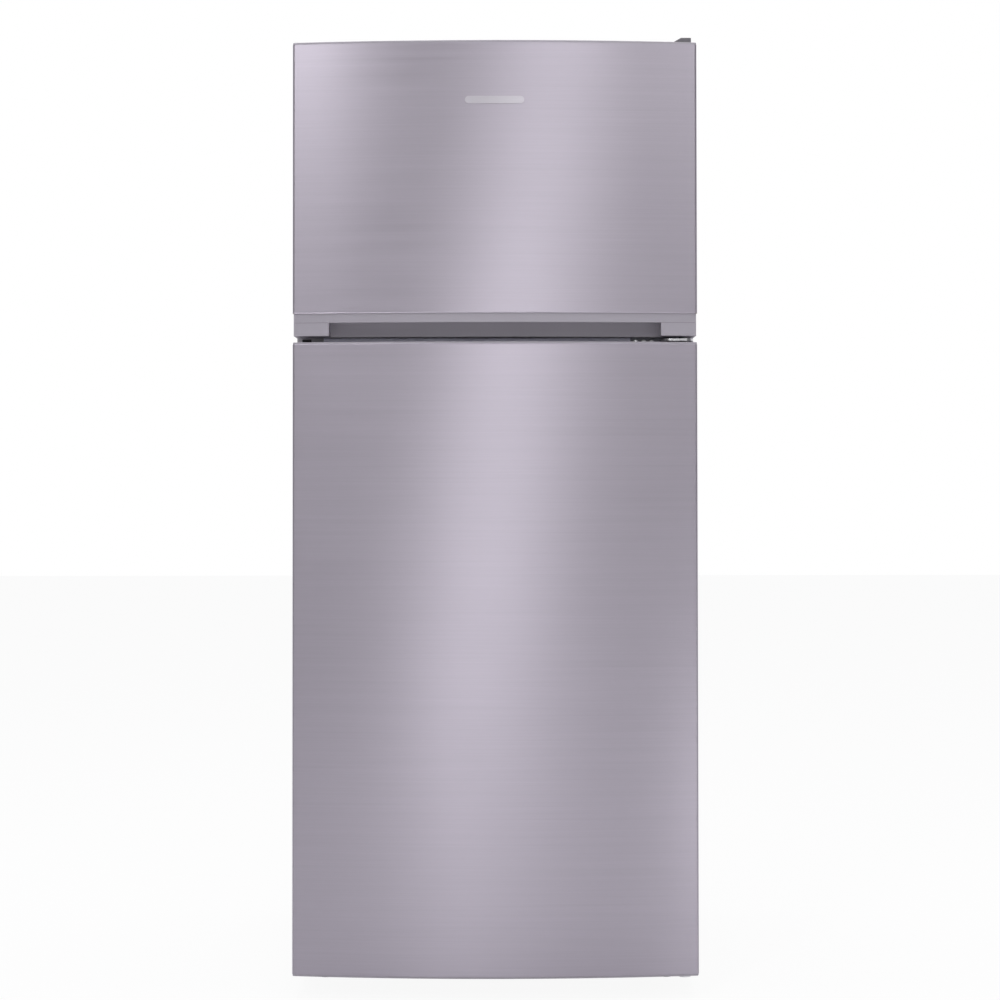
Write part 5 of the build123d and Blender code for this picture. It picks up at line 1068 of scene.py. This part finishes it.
class FRIDGE_OT_rear_screws(bpy.types.Operator):
    """Flanged hex screws round the back panel"""

    bl_idname = "fridge.rear_screws"
    bl_label = "Rear Screws"

    def execute(self, context):
        built("rear_screws", self.build, zinc_plate(), "cabinet", "zinc_steel")
        return {"FINISHED"}

    def build(self, work):
        """A screw every so often down both sides and along the top, on the wrap's rear flange."""
        edge, lowest, runs = 0.0075, 0.07, 7
        x = HALF_WIDTH - edge
        top = CABINET_TOP - edge
        places = []
        for side in (-1, 1):
            for step in range(runs + 1):
                places.append((side * x, lowest + (top - 2 * lowest) * step / runs))
            places.append((side * 0.17, top))
        places.append((0.0, top))
        outwards = Matrix.Rotation(-math.pi / 2, 4, "X")
        for at_x, at_z in places:
            self.screw(work, Matrix.Translation((at_x, CABINET_BACK - SKIN_PLAY, at_z)) @ outwards)

    def screw(self, work, spot):
        """A thin washer face under a six-sided head with a chamfered crown."""
        turned(work, ((0, 0), (0.0048, 0), (0.0048, 0.0006), (0.0044, 0.0010), (0, 0.0010)), spot, sides=24)
        turned(work, ((0, 0.0009), (0.0034, 0.0009), (0.0034, 0.0034), (0.0028, 0.0040), (0, 0.0040)), spot, sides=6)


class FRIDGE_OT_feet(bpy.types.Operator):
    """Screw feet in front and rollers behind"""

    bl_idname = "fridge.feet"
    bl_label = "Feet and Rollers"

    def execute(self, context):
        black = plastic().black
        dress(moulded("Foot Plastic", black, 0.55, grain=800.0, relief=0.2, dust=0.3), "foot_left", "foot_right")
        dress(moulded("Roller Plastic", (0.10, 0.10, 0.11), 0.5, dust=0.3), "roller_left", "roller_right")
        return {"FINISHED"}


LAMPS = (  # name, place, width and height, power in watts
    ("Key Top", (0.70, -4.6, 3.10), (0.7, 0.8), 10.6),
    ("Key Upper", (0.25, -4.6, 1.80), (0.6, 0.8), 4.9),
    ("Key Lower", (-0.05, -4.6, 0.95), (0.6, 0.8), 5.4),
    ("Key Floor", (-0.45, -4.6, 0.20), (0.6, 0.5), 4.0),
    ("Upper Left", (-1.9, -4.3, 3.2), (0.7, 0.8), 3.5),
    ("Upper Left High", (-1.6, -3.6, 4.0), (0.6, 0.8), 34.0),
    ("Upper Right", (1.9, -4.3, 3.2), (0.7, 0.8), 10.5),
    ("Lower Right", (2.6, -4.3, 0.2), (0.8, 0.5), 4.8),
    ("Low Glow", (0.80, -1.40, 0.12), (0.25, 0.15), 0.5),
    ("Top Soft", (0.0, -0.6, 4.0), (3.5, 3.5), 78.0),
)
LAMP_AIM = Vector((0.0, -0.3, 0.85))
FLOOR_HALF = 14.0
CAMERA_SHIFT = (-0.00583, -0.045)
WHITE = (1.0, 1.0, 1.0, 1.0)


class FRIDGE_OT_stage(bpy.types.Operator):
    """Pale floor, soft lights and the camera"""

    bl_idname = "fridge.stage"
    bl_label = "Stage"

    def execute(self, context):
        stage = context.scene.fridge_stage
        self.build_floor(stage)
        self.build_world(context.scene, stage)
        self.build_lights()
        self.build_camera(context.scene, stage)
        context.scene.view_settings.view_transform = "Standard"
        return {"FINISHED"}

    def build_floor(self, stage):
        """A wide pale floor that stays bright to the camera and takes only a soft shadow."""
        mesh = bpy.data.meshes.new("Floor")
        work = bmesh.new()
        bmesh.ops.create_grid(work, x_segments=1, y_segments=1, size=FLOOR_HALF)
        work.to_mesh(mesh)
        work.free()
        floor = bpy.data.objects.new("Floor", mesh)
        bpy.context.scene.collection.objects.link(floor)
        made, tree, shader = principled("Pale Floor", roughness=0.8, specular_ior_level=0.1)
        finish(tree, shader, shade(tree, marks_at(tree, 0.8), stage.floor, 1.0, 1.01))
        glow = add(tree, "ShaderNodeEmission", {0: WHITE, 1: 1.0})
        path = add(tree, "ShaderNodeLightPath")
        share_seen = calc(tree, "MULTIPLY", path.outputs["Is Camera Ray"], stage.floor_glow)
        seen = add(tree, "ShaderNodeMixShader", {0: share_seen, 1: shader.outputs[0], 2: glow.outputs[0]})
        tree.links.new(seen.outputs[0], tree.nodes["Material Output"].inputs[0])
        mesh.materials.append(made)

    def build_world(self, scene, stage):
        """White behind the object and a quieter white in front of it, as between studio screens."""
        world = bpy.data.worlds.new("Studio")
        world.use_nodes = True
        tree = world.node_tree
        surround = tree.nodes["Background"]
        way = add(tree, "ShaderNodeSeparateXYZ", {0: add(tree, "ShaderNodeTexCoord").outputs["Generated"]})
        behind = spread(tree, way.outputs[1], stage.front_fill, stage.back_fill, -0.35, 0.25)
        surround.inputs[0].default_value = (0.985, 0.98, 1.0, 1.0)
        tree.links.new(behind, surround.inputs[1])
        seen = add(tree, "ShaderNodeBackground", {0: WHITE, 1: 1.0})
        path = add(tree, "ShaderNodeLightPath")
        pick = add(tree, "ShaderNodeMixShader", {0: path.outputs["Is Camera Ray"], 1: surround.outputs[0],
                                                 2: seen.outputs[0]})
        tree.links.new(pick.outputs[0], tree.nodes["World Output"].inputs[0])
        scene.world = world

    def build_lights(self):
        """A leaning row of soft panels in front, with quiet ones at the upper left and the lower right."""
        for row in LAMPS:
            self.panel(*row)

    def panel(self, name, place, size, power):
        """One rectangular lamp turned towards the doors."""
        data = bpy.data.lights.new(name, "AREA")
        data.shape = "RECTANGLE"
        data.size, data.size_y = size
        data.energy = power
        lamp = bpy.data.objects.new(name, data)
        bpy.context.scene.collection.objects.link(lamp)
        lamp.location = place
        aim = LAMP_AIM - Vector(place)
        lamp.rotation_mode = "QUATERNION"
        lamp.rotation_quaternion = aim.to_track_quat("-Z", "Y")
        lamp.visible_camera = False

    def build_camera(self, scene, stage):
        """A long lens square to the doors."""
        data = bpy.data.cameras.new("Front Camera")
        data.lens = stage.lens
        data.shift_x, data.shift_y = CAMERA_SHIFT
        camera = bpy.data.objects.new("Front Camera", data)
        scene.collection.objects.link(camera)
        camera.location = (stage.camera_x, DOOR_FRONT - stage.distance, stage.camera_z)
        camera.rotation_euler = Euler((math.pi / 2 + stage.pitch, stage.roll, 0.0))
        scene.camera = camera


OPERATORS = (
    FRIDGE_OT_doors, FRIDGE_OT_hems, FRIDGE_OT_nameplate, FRIDGE_OT_seals, FRIDGE_OT_cabinet, FRIDGE_OT_hinges,
    FRIDGE_OT_liners, FRIDGE_OT_shelves, FRIDGE_OT_bins, FRIDGE_OT_egg_tray, FRIDGE_OT_drawers,
    FRIDGE_OT_ice_maker, FRIDGE_OT_controls, FRIDGE_OT_cooling, FRIDGE_OT_machine_bay, FRIDGE_OT_rear_screws,
    FRIDGE_OT_feet, FRIDGE_OT_stage,
)


class FRIDGE_PT_panel(bpy.types.Panel):
    """Lists the settings and the operators in the sidebar"""

    bl_idname = "FRIDGE_PT_panel"
    bl_label = "Top Freezer Refrigerator"
    bl_space_type = "VIEW_3D"
    bl_region_type = "UI"
    bl_category = "Fridge"

    def draw(self, context):
        column = self.layout.column()
        for operator in OPERATORS:
            column.operator(operator.bl_idname)
        for key, group in PROPERTY_GROUPS.items():
            settings = getattr(context.scene, key)
            for field in group.__annotations__:
                column.prop(settings, field)


def register():
    """Registers every class and hangs the settings on the scene."""
    for cls in (*PROPERTY_GROUPS.values(), *OPERATORS, FRIDGE_PT_panel):
        bpy.utils.register_class(cls)
    for key, group in PROPERTY_GROUPS.items():
        setattr(bpy.types.Scene, key, PointerProperty(type=group))


def unregister():
    """Takes the settings and classes away again."""
    for key in PROPERTY_GROUPS:
        delattr(bpy.types.Scene, key)
    for cls in reversed((*PROPERTY_GROUPS.values(), *OPERATORS, FRIDGE_PT_panel)):
        bpy.utils.unregister_class(cls)


def main():
    """Builds the whole scene."""
    register()
    for operator in OPERATORS:
        group, action = operator.bl_idname.split(".")
        getattr(getattr(bpy.ops, group), action)()
    bpy.context.view_layer.update()


if __name__ == "__main__":
    main()
